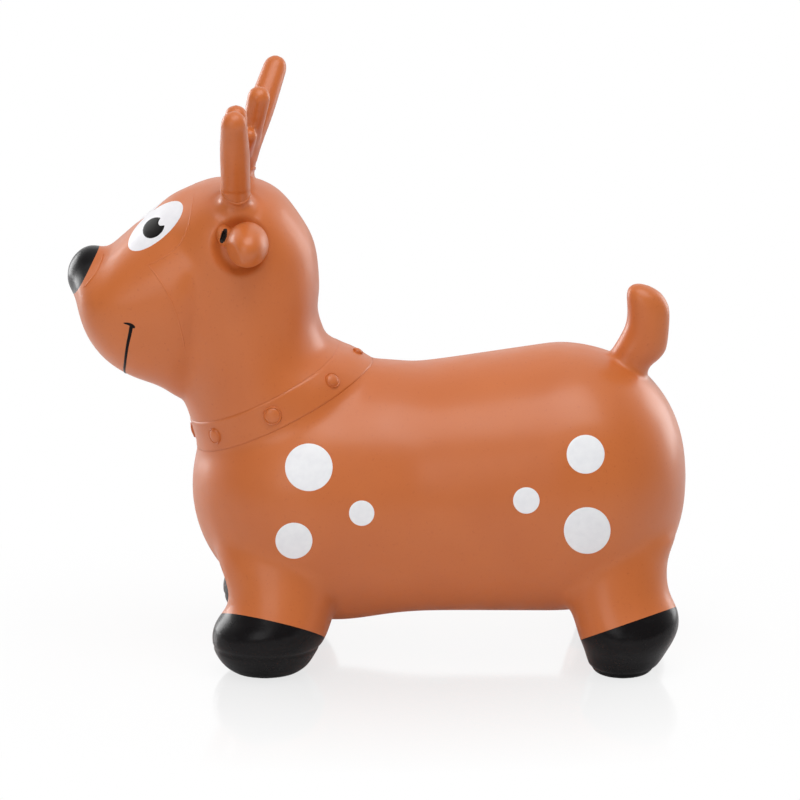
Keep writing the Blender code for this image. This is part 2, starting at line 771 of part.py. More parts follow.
def valve(torso_skin, tree):
    """A moulded seat through the belly skin, and the stopper pushed up into its bore."""
    belly = tree.ray_cast(Vector((torso_x(VALVE_SHARE), 0.0, 0.0)), Vector((0, 0, 1)))[0]
    hole = rod("valve_hole", belly, (0, 0, 1), VALVE_SEAT_RADIUS + GAP, 4 * VALVE_FLANGE_RADIUS, 28)
    cut(torso_skin, hole)
    low = WALL + VALVE_FLANGE_LIFT
    high = low + VALVE_FLANGE_THICKNESS
    seat = turned(
        "valve_seat",
        (
            (VALVE_BORE_RADIUS, VALVE_SEAT_HEIGHT),
            (VALVE_SEAT_RADIUS, VALVE_SEAT_HEIGHT),
            (VALVE_SEAT_RADIUS, high),
            (VALVE_FLANGE_RADIUS, high),
            (VALVE_FLANGE_RADIUS, low),
            (VALVE_SEAT_RADIUS, low),
            (VALVE_SEAT_RADIUS, 0.0),
            (VALVE_BORE_RADIUS, 0.0),
        ),
        True,
        belly,
    )
    stem = VALVE_BORE_RADIUS - GAP
    plug = turned(
        "valve_plug",
        (
            (0.0, PLUG_STEM_LENGTH),
            (PLUG_TIP_RADIUS, PLUG_STEM_LENGTH),
            (stem, PLUG_STEM_LENGTH / 2),
            (stem, -GAP),
            (PLUG_HEAD_RADIUS, -GAP),
            (PLUG_HEAD_RADIUS, -GAP - PLUG_HEAD_THICKNESS),
            (0.0, -GAP - PLUG_HEAD_THICKNESS),
        ),
        False,
        belly,
    )
    finish_part(seat, BROWN, 0.45)
    finish_part(plug, STOPPER, 0.5)


# What stands out of the skin


def split_at_pivot(piece, root_name, pivot, radius):
    """Divides a flexing piece from its root along a cylinder about the joint's axis."""
    above = pivot + Vector((0, 0, FAR / 2))
    halves = []
    for name, grow in ((piece.name + "_side", GAP / 2), (root_name + "_side", -GAP / 2)):
        side = block(name, above, (FAR, FAR, FAR))
        drum = rod(name + "_drum", pivot, (0, 1, 0), radius + grow, 8 * radius, 64)
        halves.append(cut(side, drum))
    root = cut(copy_of(piece, root_name, parts), halves[1])
    keep(piece, halves[0])
    set_origin(piece, pivot)
    finish_part(piece, BROWN, 0.45)
    finish_part(root, BROWN, 0.45)


def antler(name, side, height, lean, tine_share, body_cut):
    root = head_place(ANTLER_SHARE, side * ANTLER_ACROSS_SHARE * HEAD_BREADTH)
    forms = []
    for part_name, shares, radius, reach in (
        ("beam", BEAM_SHARES, ANTLER_RADIUS, height),
        ("tine", TINE_SHARES, TINE_RADIUS, height * tine_share),
        ("low_tine", LOW_TINE_SHARES, LOW_TINE_RADIUS, height),
    ):
        points = []
        for rise, spread, bend, share in shares:
            points.append(root + Vector((lean * bend, side * ANTLER_SPREAD * spread, reach * rise)))
        radii = [radius * row[-1] for row in shares]
        forms.append(limb(f"{name}_{part_name}", points, radii, guides))
    surface = joined_form(name + "_surface", forms, SMALL_VOXEL, 3, ANTLER_FACET_SHARE)
    piece = shell(name, surface, WALL, 0.0, parts)
    cut(piece, body_cut)
    pivot = root + Vector((lean * ANTLER_PIVOT_LEAN_SHARE, 0, ANTLER_PIVOT_RISE))
    split_at_pivot(piece, name + "_root", pivot, ANTLER_PIVOT_RADIUS)


def tail(body_cut):
    foot = Vector((torso_x(TAIL_SHARE), 0.0, BELLY_HEIGHT + HIP_RADIUS * (1 + TAIL_FOOT_SHARE)))

    def point(back, rise):
        return foot.x + TAIL_LENGTH * back, foot.z + TAIL_HEIGHT * rise

    table = smooth_rows(
        [(*point(*row[0:2]), *point(*row[2:4]), row[4] * TAIL_BREADTH) for row in TAIL_SHARES], 2
    )
    rings = [oval(row[0:2], row[2:4], row[4], sides=16) for row in table]
    low, top = np.mean(rings[0], axis=0), point(*TAIL_TOP_SHARE)
    form = loft("tail_surface", rings, low, (top[0], 0.0, top[1]), guides)
    piece = shell("tail", form, WALL, 0.0, parts)
    cut(piece, body_cut)
    pivot = foot + Vector((TAIL_PIVOT_BACK, 0.0, TAIL_PIVOT_RISE))
    split_at_pivot(piece, "tail_root", pivot, TAIL_PIVOT_RADIUS)


def ear(name, side, body_cut):
    reach = HEAD_BREADTH / 2 + EAR_STAND_OUT
    centre = head_place(EAR_SHARE, side * (reach - EAR_LENGTH / 2))
    radii = (EAR_THICKNESS / 2, EAR_LENGTH / 2, EAR_HEIGHT / 2)
    flat = Matrix.Identity(3)
    lobe = ellipsoid(name + "_lobe", centre, radii, flat, guides)
    opening = head_place(EAR_SHARE, side * (reach - 0.42 * EAR_LENGTH))
    opening.x -= EAR_THICKNESS / 2
    cup_radii = (EAR_CUP_DEPTH, EAR_CUP_LENGTH / 2, EAR_CUP_HEIGHT / 2)
    cup = ellipsoid(name + "_cup", opening, cup_radii, flat, guides)
    cut(lobe, cup)
    surface = joined_form(name + "_surface", [lobe], SMALL_VOXEL, 2, EAR_FACET_SHARE)
    piece = shell(name, surface, EAR_WALL, 0.0, parts)
    cut(piece, body_cut)
    lining = print_shell(name + "_lining", surface, GAP)
    inside = ellipsoid(name + "_lining_keep", opening, cup_radii, flat, guides)
    keep(lining, inside)
    cut(lining, body_cut)
    finish_part(piece, BROWN, 0.45)
    finish_part(lining, BLACK, 0.5)


# Printed marks, thin films just clear of the skin


def print_shell(name, surface, off):
    return shell(name, surface, PRINT_THICKNESS, off + PRINT_THICKNESS, parts)


def spots(body, tree):
    film = print_shell("spot_film", body, GAP)
    tilt = math.radians(SPOT_PRINT_TILT_DEG)
    for name, side in (("left", -1), ("right", 1)):
        axis = Vector((0, -side * math.cos(tilt), -math.sin(tilt)))
        for place, (along, up, size) in SPOT_SHARES.items():
            radius = torso_radius(along)
            start = Vector((torso_x(along), 0.0, BELLY_HEIGHT + radius * (1 + up)))
            point = tree.ray_cast(start, Vector((0, side, 0)))[0]
            spot = copy_of(film, f"{name}_spot_{place}", parts)
            cutter = rod(spot.name + "_keep", point, axis, size * radius, radius, 28)
            finish_part(keep(spot, cutter), WHITE, 0.45)
    bpy.data.objects.remove(film)


def eyes(body, tree):
    white_film = print_shell("white_film", body, GAP)
    black_film = print_shell("black_film", body, 2 * GAP + PRINT_THICKNESS)
    slope, turn = math.radians(EYE_SLOPE_DEG), math.radians(EYE_TURN_DEG)
    along = Vector((math.cos(slope), 0, math.sin(slope)))
    up = Vector((-math.sin(slope), 0, math.cos(slope)))
    for name, side in (("left", -1), ("right", 1)):
        out = up * math.cos(turn) + Vector((0, side * math.sin(turn), 0))
        point = tree.ray_cast(head_place(EYE_AXIS_SHARE), out)[0]
        across = out.cross(along) * -side
        white = copy_of(white_film, name + "_eye_white", parts)
        stretch = EYE_LENGTH / EYE_BREADTH
        depth = EYE_LENGTH
        oval_cut = rod(name + "_eye_keep", point, out, EYE_BREADTH / 2, depth, 32, stretch, along)
        finish_part(keep(white, oval_cut), WHITE, 0.4)
        middle = point - along * PUPIL_DROP
        pupil = copy_of(black_film, name + "_pupil", parts)
        keep(pupil, rod(name + "_pupil_keep", middle, out, PUPIL_RADIUS, depth, 24))
        glint = middle + along * GLINT_FORWARD - across * GLINT_LIFT
        cut(pupil, rod(name + "_glint", glint, out, GLINT_RADIUS, depth, 16))
        finish_part(pupil, BLACK, 0.35)
    bpy.data.objects.remove(white_film)
    bpy.data.objects.remove(black_film)


def mouth(body):
    """A line round the chin from cheek to cheek, with a short hook at each end."""
    line = print_shell("mouth_line", body, GAP)
    slant = Matrix.Rotation(math.radians(MOUTH_SLANT_DEG), 3, "Y")
    drop = 0.35 * HEAD_HEIGHT
    top = head_place(MOUTH_TOP_SHARE)
    middle = top + slant @ Vector((0, 0, -drop / 2))
    cutter = block("mouth_keep", middle, (MOUTH_LINE, FAR, drop), slant)
    tilt = Matrix.Rotation(math.radians(MOUTH_HOOK_DEG), 3, "Y")
    hook = block("mouth_hook_keep", top, (MOUTH_HOOK, FAR, MOUTH_LINE), tilt)
    cut(cutter, hook, "UNION")
    finish_part(keep(line, cutter), BLACK, 0.4)


def main():
    global parts, guides
    clear_scene()
    parts = new_collection("bouncy_ride_on_deer")
    guides = new_collection("forms_and_cutters")
    body = body_surface()
    tree = BVHTree.FromObject(body, bpy.context.evaluated_depsgraph_get())
    skin = shell("skin", body, WALL, 0.0, guides)
    body_cut = clearance("body_clearance", body, GAP)
    head_and_collar(body, skin)
    collar_studs(body, tree)
    legs_and_torso(skin, tree)
    left = (LEFT_ANTLER_RISE, LEFT_ANTLER_LEAN, LEFT_TINE_SHARE)
    right = (RIGHT_ANTLER_RISE, RIGHT_ANTLER_LEAN, RIGHT_TINE_SHARE)
    antler("left_antler", -1, *left, body_cut)
    antler("right_antler", 1, *right, body_cut)
    tail(body_cut)
    for name, side in (("left_ear", -1), ("right_ear", 1)):
        ear(name, side, body_cut)
    spots(body, tree)
    eyes(body, tree)
    mouth(body)


main()
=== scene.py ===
"""The ride-on deer as the photograph shows it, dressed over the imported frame."""

import math

import bmesh
import bpy
import numpy as np
from mathutils import Matrix, Vector
from mathutils.bvhtree import BVHTree


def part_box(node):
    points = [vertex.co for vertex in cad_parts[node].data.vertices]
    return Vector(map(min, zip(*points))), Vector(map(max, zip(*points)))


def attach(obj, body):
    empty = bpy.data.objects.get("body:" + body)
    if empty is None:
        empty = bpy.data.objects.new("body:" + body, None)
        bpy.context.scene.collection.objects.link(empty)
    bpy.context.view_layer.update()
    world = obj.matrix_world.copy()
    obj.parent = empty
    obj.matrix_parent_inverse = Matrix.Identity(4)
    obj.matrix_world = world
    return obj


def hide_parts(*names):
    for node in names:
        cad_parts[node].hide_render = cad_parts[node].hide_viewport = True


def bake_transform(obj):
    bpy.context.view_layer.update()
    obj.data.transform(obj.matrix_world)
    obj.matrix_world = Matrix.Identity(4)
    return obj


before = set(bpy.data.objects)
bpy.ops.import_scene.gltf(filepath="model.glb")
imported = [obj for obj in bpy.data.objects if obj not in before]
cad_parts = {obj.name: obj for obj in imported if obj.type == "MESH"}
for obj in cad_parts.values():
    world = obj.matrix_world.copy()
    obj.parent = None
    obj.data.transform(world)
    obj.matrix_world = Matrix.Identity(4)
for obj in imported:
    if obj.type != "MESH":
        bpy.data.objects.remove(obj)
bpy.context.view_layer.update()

SIDES = {"left": -1, "right": 1}


def about_y(degrees):
    return Matrix.Rotation(math.radians(degrees), 3, "Y")


# The photograph's camera, in metres and degrees; the picture is 800 by 800
PICTURE = 800
CAMERA_RISE_DEG = 15.0
CAMERA_DISTANCE = 4.9
CAMERA_TARGET = np.array([0.0207, 0.0, 0.2263])
PIXELS_PER_METRE = 1125.5
SENSOR = 36.0

# The skin's wall, the sizes of its quads and the rounds that smooth it
WALL = 0.0024
VOXEL = 0.0021
FINE_VOXEL = 0.0011
FIRST_ROUNDS = 8
FILLET_ROUNDS = 47
MERGE = 0.00001
# Points of less weight than this aren't smoothed
LEAST_WEIGHT = 0.002
# Limbs and tail keep their shape within these multiples of their own radius
THIN_REACH = (1.15, 1.80)
DOME_STEPS = 6
# How far a round of smoothing moves a point towards its neighbours' middle
HALFWAY = 0.5
# Each form's smooth rows between its given ones, and its sides
HEAD_STEPS, LEG_STEPS, TAIL_STEPS, LIMB_STEPS = 8, 8, 6, 6
OVAL_SIDES, LEG_SIDES, TAIL_SIDES, LIMB_SIDES = 64, 48, 40, 28
BALL_SIDES, BALL_RINGS = 48, 24

# Sections: a face may be cut within this reach of a line, and these boxes hold the cuts
CUT_REACH = 4 * VOXEL
ANYWHERE = (-1, -1, -1), (1, 1, 1)
NOSE_BOX = (-1, -1, 0.30), (-0.20, 1, 1)
TAIL_BOX = (0.18, -1, 0.24), (1, 1, 1)
ANTLER_BOX_Z = 0.40

# The throat, where the jaw runs into the neck without a fold: middle, spread, from which Y on
THROAT = (-0.1500, 0.0, 0.2650)
THROAT_SPREAD = (0.060, 0.200, 0.050)
THROAT_Y = (0.015, 0.045)
THROAT_ROUNDS = 260

# Torso
TORSO_LENGTH = 0.4400
CHEST_X = -0.1647
CHEST_RADIUS = 0.1130
WAIST_RADIUS = 0.1107
HIP_RADIUS = 0.1202
BELLY_HEIGHT = 0.0362
CHEST_POWER = 2.02
RUMP_POWER = 2.25
TORSO_STATIONS = (0.25, 0.45, 0.74)
TORSO_RINGS = 88

# Collar
COLLAR_X = -0.0907
COLLAR_Z = 0.2345
COLLAR_RADIUS = 0.0830
COLLAR_HALF_BREADTH = 0.0850
COLLAR_TILT_DEG = 26.2
COLLAR_WIDTH = 0.0274
COLLAR_TURN = about_y(-COLLAR_TILT_DEG)
COLLAR_AXIS = COLLAR_TURN @ Vector((0, 0, 1))
COLLAR_MIDDLE = Vector((COLLAR_X, 0.0, COLLAR_Z))
STUD_COUNT = 8
STUD_RADIUS = 0.0070
# The studs on the two sides are a little larger and the one at the back smaller
SIDE_STUD_MORE = 0.16
BACK_STUD_LESS = 0.34
STUD_LIFT = 0.0002
STUD_ROOT = 0.0003
STUD_SIDES = 40
# Share of the radius and height, over the dome and its rim
STUD_PROFILE = (
    (0.00, 0.0026), (0.25, 0.0025), (0.50, 0.0022), (0.68, 0.0018), (0.78, 0.0013),
    (0.83, 0.0009), (0.87, 0.0010), (0.91, 0.0015), (0.95, 0.0016), (0.99, 0.0011),
    (1.04, 0.0000),
)
# The collar's edges lie this far from its middle plane; then place from the edge and relief
COLLAR_EDGE = COLLAR_WIDTH / 2 - 0.0002
COLLAR_RIM = (
    (0.0001, -0.0003), (-0.0003, -0.0003), (-0.0006, 0.0000), (-0.0011, 0.0003),
    (-0.0019, 0.0005), (-0.0034, 0.0004), (-0.0060, 0.0002), (-0.0105, 0.0002),
)
COLLAR_PROFILE = [(-COLLAR_EDGE - place, relief) for place, relief in COLLAR_RIM]
COLLAR_PROFILE += [(COLLAR_EDGE + place, relief) for place, relief in reversed(COLLAR_RIM)]

# The neck's ovals: the front and back shares of the collar's radius, the lift, the breadth
NECK = ((0.75, -1.10, -1.93, 0.92), (0.95, -1.05, -0.88, 0.98), (0.97, -1.00, 0.0, 1.0))
NECK_FOOT = (-0.2, -2.09)

# Head; its ovals have two ends in shares of its length and height, and a half breadth
NAPE_X = COLLAR_X + 0.0375
HEAD_LENGTH = 0.2160
HEAD_HEIGHT = 0.1920
HEAD_BREADTH = 0.1560
CRANIUM = (
    (0.535, 0.020, -0.038, 0.254, 0.522),
    (0.555, 0.190, -0.003, 0.370, 0.508),
    (0.615, 0.440, -0.014, 0.500, 0.500),
    (0.655, 0.690, 0.004, 0.698, 0.497),
    (0.635, 0.820, 0.070, 0.836, 0.475),
    (0.570, 0.915, 0.140, 0.934, 0.405),
    (0.480, 0.972, 0.216, 0.984, 0.270),
)
CRANIUM_TOP = (0.345, 1.005)
MUZZLE_TIP = (0.998, 0.545)
MUZZLE = (
    (0.972, 0.635, 0.985, 0.455, 0.190),
    (0.925, 0.642, 0.962, 0.345, 0.310),
    (0.862, 0.668, 0.925, 0.250, 0.385),
    (0.780, 0.758, 0.858, 0.155, 0.430),
    (0.685, 0.840, 0.755, 0.080, 0.460),
    (0.580, 0.930, 0.640, 0.035, 0.475),
    (0.475, 0.974, 0.550, -0.020, 0.480),
)
MUZZLE_END = (0.350, 0.500)

# Nose
NOSE_PLACE = (0.9330, 0.5800)
NOSE_SIZE = (0.0360, 0.0500, 0.0498)
NOSE_TURN = about_y(29.5)
NOSE_FORWARD = NOSE_TURN @ Vector((-1, 0, 0))
NOSE_LINE_SHIFT = 0.0012

# Legs and hooves
LEG_SPACING = 0.1560
# The right legs stand this much nearer the middle than the left ones
RIGHT_LEG_INSET = 0.0050
HOOF_BREADTH = 0.0920
HOOF_HEIGHT = 0.0445
LEG_LINE_OUTWARD_DEG = 29.0
PAINT_LINE_Z = 0.0417
LEG_LINE_Z = 0.0645
LEG_BOX = Vector((0.0825, 0.0624, 0.1))
SOLE_Z = 0.0004
# The grooves round the hooves: depth, reach along X, top and spread, then each pair's level
HOOF_GROOVE = (0.0008, 0.075, 0.040, 0.0018)
HOOF_GROOVE_Z = {"front": 0.0235, "rear": 0.0048}
# The legs' rings: height and how far outward, then each pair's outer and inner reach and half
# breadth
LEG_UP = (-0.09, 0.07, 0.20, 0.42, 0.73, 1.00, 1.22, 1.44, 1.78, 2.22, 2.67)
LEG_OUTWARD = (0.00, 0.00, 0.00, 0.00, 0.01, -0.01, -0.05, -0.09, -0.16, -0.25, -0.34)
FRONT_LEG = (
    (0.247, 0.400, 0.455, 0.520, 0.540, 0.500, 0.408, 0.374, 0.412, 0.492, 0.512),
    (0.165, 0.320, 0.370, 0.415, 0.490, 0.520, 0.545, 0.575, 0.650, 0.740, 0.800),
    (0.22, 0.35, 0.40, 0.45, 0.50, 0.51, 0.49, 0.48, 0.49, 0.51, 0.51),
)
REAR_LEG = (
    (0.215, 0.305, 0.362, 0.428, 0.515, 0.560, 0.545, 0.475, 0.430, 0.450, 0.550),
    (0.240, 0.345, 0.375, 0.395, 0.460, 0.495, 0.540, 0.580, 0.620, 0.680, 0.700),
    (0.24, 0.35, 0.39, 0.43, 0.50, 0.51, 0.49, 0.48, 0.49, 0.51, 0.51),
)
# Name, place along X, sense, hoof length, rings, then the paint line's outward and fore slopes
LEGS = (
    ("front", CHEST_X + 0.1602 * TORSO_LENGTH, -1, 0.0970, FRONT_LEG, 22.5, 14.5, 0.015),
    ("rear", CHEST_X + 0.8716 * TORSO_LENGTH, 1, 0.0890, REAR_LEG, 18.0, 20.0, 0.013),
)

# Ears
EAR_CENTRE = (-0.1117, 0.0795, 0.3869)
EAR_RADII = (0.0187, 0.0320, 0.0192)
DIMPLE_CENTRE = (-0.1183, 0.3838)
DIMPLE_RADIUS = 0.0268
DIMPLE_DEPTH = 0.0076
DIMPLE_FLAT = 0.66
DIMPLE_Y = (0.045, 0.055)
# The ear: a lobe cut off in front, a low lip before it and a dark slit between them
LOBE_CUT_POINT = (-0.1256, 0.0950, 0.3880)
LOBE_CUT_WAY = (-0.86, 0.42, -0.28)
LIP_CENTRE = (-0.1318, 0.0650, 0.3920)
LIP_RADII = (0.0072, 0.0150, 0.0105)
LIP_TURN = about_y(-16.0)
SLIT_CENTRE = (-0.1321, 0.0835, 0.3952)
SLIT_RADII = (0.0022, 0.0120, 0.0090)
SLIT_TURN = about_y(19.0)
EAR_ROUNDS, SLIT_ROUNDS = 8, 3
# The slit's black film: how far round the slit it reaches, its wall and its lift
LINING_REACH = 0.0006
LINING_WALL = 0.0006
LINING_LIFT = 0.0003

# Where both sides of the skin swell or dip: place, spread each way and lift
SWELLS = (
    ((-0.1640, 0.0000, 0.4200), (0.024, 0.050, 0.024), 0.0010),
    ((-0.2260, 0.0000, 0.3800), (0.020, 0.050, 0.020), -0.0018),
    ((-0.0468, 0.0000, 0.2935), (0.014, 0.055, 0.014), 0.0024),
    ((-0.1700, 0.0000, 0.2310), (0.026, 0.050, 0.015), 0.0030),
    ((0.0070, 0.0000, 0.2650), (0.034, 0.050, 0.020), 0.0025),
    ((-0.0290, 0.0000, 0.2740), (0.014, 0.055, 0.014), -0.0018),
    ((-0.0362, 0.0420, 0.0450), (0.048, 0.040, 0.034), 0.0085),
)

# Antlers
ANTLER_X = NAPE_X - 0.3195 * HEAD_LENGTH
ANTLER_Y = 0.3080 * HEAD_BREADTH
ANTLER_Z = COLLAR_Z + 0.9245 * HEAD_HEIGHT
ANTLER_SPREAD = 0.0570
ANTLER_CUT_Z = 0.4320
ANTLER_CUT = (0, 0, ANTLER_CUT_Z)
ANTLER_BEND_END_Z = 0.4560
# Each arm's rings: shares of the rise, the spread, the lean and the radius
BEAM = (
    (-0.22, -0.02, 0.00, 1.06),
    (0.06, 0.02, 0.02, 0.98),
    (0.34, 0.22, 0.21, 0.98),
    (0.66, 0.58, 0.56, 0.98),
    (1.00, 1.00, 0.92, 0.86),
)
TINE = (
    (0.30, 0.16, 0.17, 0.70),
    (0.46, 0.05, 0.29, 0.92),
    (0.68, -0.10, 0.42, 0.98),
    (0.90, -0.19, 0.54, 1.04),
)
LOW_TINE = (
    (0.20, 0.08, 0.08, 0.80),
    (0.35, -0.14, 0.18, 0.95),
    (0.51, -0.36, 0.30, 1.00),
)
BEAM_RADIUS = 0.0122
TINE_RADIUS = 0.0102
LOW_TINE_RADIUS = 0.0074
# The groove round each foot: depth, radius and spread, then its lowest and highest Z
ANTLER_GROOVE = (0.0011, 0.0195, 0.0032)
ANTLER_GROOVE_Z = (0.37, 0.430)
# Side, rise, lean, the middle tine's rise against the beam's and how stout the beam is
ANTLERS = {"left": (-1, 0.0874, 0.0005, 1.01, 1.10), "right": (1, 0.0944, 0.0340, 0.95, 1.04)}

# Tail
TAIL_X = CHEST_X + 0.8784 * TORSO_LENGTH
TAIL_Z = BELLY_HEIGHT + 1.6470 * HIP_RADIUS
TAIL_HEIGHT = 0.0985
TAIL_LENGTH = 0.0390
TAIL_BREADTH = 0.0370
# The front and the rear point of each ring from the foot up, then its half breadth
TAIL_ROWS = (
    (-0.518, 0.274, 0.310, -0.005, 0.46),
    (-0.385, 0.366, 0.444, 0.107, 0.50),
    (-0.238, 0.460, 0.518, 0.227, 0.50),
    (-0.126, 0.543, 0.744, 0.307, 0.50),
    (-0.038, 0.627, 0.895, 0.395, 0.50),
    (-0.003, 0.729, 0.944, 0.534, 0.49),
    (-0.018, 0.830, 0.969, 0.720, 0.47),
    (-0.028, 0.914, 0.921, 0.817, 0.44),
    (0.028, 0.972, 0.769, 0.910, 0.34),
    (0.167, 1.000, 0.531, 0.972, 0.18),
)
TAIL_TOP = (0.350, 0.996)
TAIL_CUT = Vector((0.2290, 0.0, 0.2715))
TAIL_WAY = Vector((0.42, 0.0, 0.91)).normalized()

# The beads round the antlers' feet: their level, and how they follow the head's dome down
RIM_Z = 0.4292
RIM_RADIUS = 0.0166
RIM_FORE_SLOPE = -0.19
RIM_OUTWARD_SLOPE = -0.20
RIM_OUTWARD_BEND = -25.0
RIM_STEPS = 72
RIM_WIDTH = 0.0030
RIM_HEIGHT = 0.0008

# Valve, with radii and heights of the seat and the plug
VALVE_X = CHEST_X + 0.5010 * TORSO_LENGTH
VALVE_HOLE_RADIUS = 0.0098
VALVE_HOLE_TOP = 0.06
TURNED_SIDES = 64
SEAT_PROFILE = (
    (0.0048, 0.0148), (0.0052, 0.0150), (0.0087, 0.0150), (0.0090, 0.0147), (0.0090, 0.0012),
    (0.0128, 0.0012), (0.0133, 0.0004), (0.0130, -0.0004), (0.0119, -0.0009), (0.0105, -0.0010),
    (0.0096, -0.0006), (0.0090, 0.0000), (0.0056, 0.0000), (0.0048, 0.0006),
)
PLUG_PROFILE = (
    (0.0, 0.0125), (0.0028, 0.0124), (0.0034, 0.0118), (0.0043, 0.0078), (0.0040, 0.0072),
    (0.0045, 0.0050), (0.0045, 0.0004), (0.0045, -0.0003), (0.0080, -0.0003),
    (0.0084, -0.0007), (0.0084, -0.0018), (0.0080, -0.0023), (0.0050, -0.0024),
    (0.0046, -0.0019), (0.0, -0.0019),
)

# Prints
PRINT_HEIGHT = 0.00030
# A print's edge ends this far under the skin
PRINT_EDGE_DROP = 0.0001
PRINT_ROOT = 0.00035
# Rings and sides of a printed patch; the power draws the rings towards its edge
PATCH_RINGS, PUPIL_RINGS, RING_POWER = 14, 12, 0.8
SPOT_SIDES, EYE_SIDES = 72, 96
# Each spot's middle and radii in the picture
SPOTS = {
    "shoulder_upper": (308.8, 467.3, 24.5, 24.5),
    "shoulder_lower": (293.9, 540.7, 19.0, 18.5),
    "shoulder_small": (361.7, 513.2, 13.0, 13.0),
    "rump_upper": (585.6, 454.3, 19.5, 20.0),
    "rump_small": (526.3, 500.5, 13.6, 13.6),
    "rump_lower": (587.2, 530.5, 24.0, 24.0),
}
# The eye's and pupil's middle, radii and slope, and the glint's middle and radius
EYE = (155.5, 226.0, 35.5, 14.0, 41.5)
PUPIL = (153.8, 228.0, 12.6, 9.1, 41.5)
GLINT = (161.9, 222.8, 3.3)

# Raised lines: the section as shares of the half width and height, and their depth in the skin
STRIP_PROFILE = (
    (-1.0, -0.4), (-0.8, 0.5), (-0.4, 0.95), (0.0, 1.0), (0.4, 0.95), (0.8, 0.5), (1.0, -0.4),
)
STRIP_ROOT = 0.0004
# The mouth's line down to the chin and the hook on its top, in the picture
MOUTH_LINE = ((131.5, 325.5), (129.9, 334), (128.1, 342), (126.7, 350), (125.6, 358), (124.7, 366))
MOUTH_HOOK = ((123.8, 323.2), (127.4, 323.7), (131.0, 325.0), (134.8, 327.8))
MOUTH_WIDTH = 0.0024
MOUTH_END_MORE = 0.0012
MOUTH_HEIGHT = 0.00045
MOUTH_STEPS = 6
CHIN_STEPS = 14
# The chin is found under this share of the head's height
INSIDE_HEAD = 0.4
HOOK_WIDTH = 0.0010
HOOK_MORE = 0.0026
HOOK_HEIGHT = 0.00055
# The lines moulded in the face: height, then points in the picture
FACE_LINES = {
    "face_line_upper": (
        0.00032, (194, 193), (191, 210.5), (187, 229), (178, 246), (162.5, 258), (148, 265),
    ),
    "face_line_lower": (
        0.00032, (148, 265), (156, 275), (167, 293), (176, 313), (182.4, 336), (185, 351),
    ),
    "nose_line": (0.00060, (103.4, 254), (101, 262), (96.5, 271), (91, 279), (84.5, 287)),
}
FACE_LINE_WIDTH = 0.0004
FACE_LINE_MORE = 0.0012
FACE_LINE_STEPS = 10
# Shares of a line's length that keep its two ends from closing
FACE_LINE_ENDS = (0.01, 0.99)

# Studio
PLAIN_WHITE = (1.0, 1.0, 1.0, 1.0)
WORLD_LIGHT = 0.42
# How white reflections see the backdrop: dim in front, white behind, and between which ways
MIRRORED = (0.18, 1.0, -0.25, 0.75)
LAMP_AIM = Vector((0.0, 0.0, 0.22))
# Each lamp's place, size and power
LAMPS = (
    ("top_box", (0.25, -0.55, 2.2), (1.8, 1.4), 27.0),
    ("front_box", (-0.9, -2.0, 1.1), (1.2, 1.2), 9.0),
    ("left_strip", (-1.7, 1.5, 0.55), (0.9, 1.3), 22.0),
    ("right_strip", (1.7, 1.5, 0.55), (0.9, 1.3), 12.0),
)
FLOOR_GLOW_NEAR = 0.90
FLOOR_GLOSS_IOR = 1.33
# Between these ranges the floor fades to plain white, and across the animal it fades sooner
FLOOR_FADE = (0.20, 0.62)
FLOOR_FADE_ASPECT = 1.7
FLOOR_REACH = 8
FLOOR_GLOSS_ROUGH = (0.09, 0.12)
# The mix node's colour inputs and colour result
MIX_COLOURS = (6, 7)
MIX_RESULT = 2


# Meshes and modifiers


def add_object(name, data):
    obj = bpy.data.objects.new(name, data)
    bpy.context.scene.collection.objects.link(obj)
    return obj


def remove(obj):
    mesh = obj.data
    bpy.data.objects.remove(obj, do_unlink=True)
    bpy.data.meshes.remove(mesh)


def from_bmesh(name, made):
    mesh = bpy.data.meshes.new(name)
    made.to_mesh(mesh)
    made.free()
    return mesh


def bmesh_of(mesh):
    made = bmesh.new()
    made.from_mesh(mesh)
    return made


def new_mesh(name, points, faces):
    mesh = bpy.data.meshes.new(name)
    mesh.from_pydata([tuple(p) for p in points], [], faces)
    mesh.validate()
    mesh.update()
    return mesh


def grid_faces(rows, columns, round_rows, round_columns):
    """The quads of a grid of points, which may close on itself either way."""
    ids = np.arange(rows * columns).reshape(rows, columns)
    if round_rows:
        ids = np.vstack([ids, ids[:1]])
    if round_columns:
        ids = np.column_stack([ids, ids[:, 0]])
    quads = np.stack([ids[:-1, :-1], ids[:-1, 1:], ids[1:, 1:], ids[1:, :-1]], 2)
    return quads.reshape(-1, 4).tolist()


def shell_faces(outer, count):
    """The outer faces, the same ones inside, count points on, and quads round every rim."""
    inner = [[v + count for v in reversed(face)] for face in outer]
    edges = {}
    for face in outer:
        for a, b in zip(face, face[1:] + face[:1]):
            if not edges.pop((b, a), False):
                edges[(a, b)] = True
    return outer + inner + [[b, a, a + count, b + count] for a, b in edges]


def finished(name, points, faces, sharp_deg=50):
    """An object with its faces outward, smooth except at its sharp edges."""
    made = bmesh_of(new_mesh(name, points, faces))
    bmesh.ops.remove_doubles(made, verts=made.verts, dist=MERGE)
    bmesh.ops.delete(made, geom=[e for e in made.edges if e.is_wire], context="EDGES")
    bmesh.ops.recalc_face_normals(made, faces=made.faces)
    mesh = from_bmesh(name, made)
    mesh.shade_smooth()
    mesh.set_sharp_from_angle(angle=math.radians(sharp_deg))
    return add_object(name, mesh)


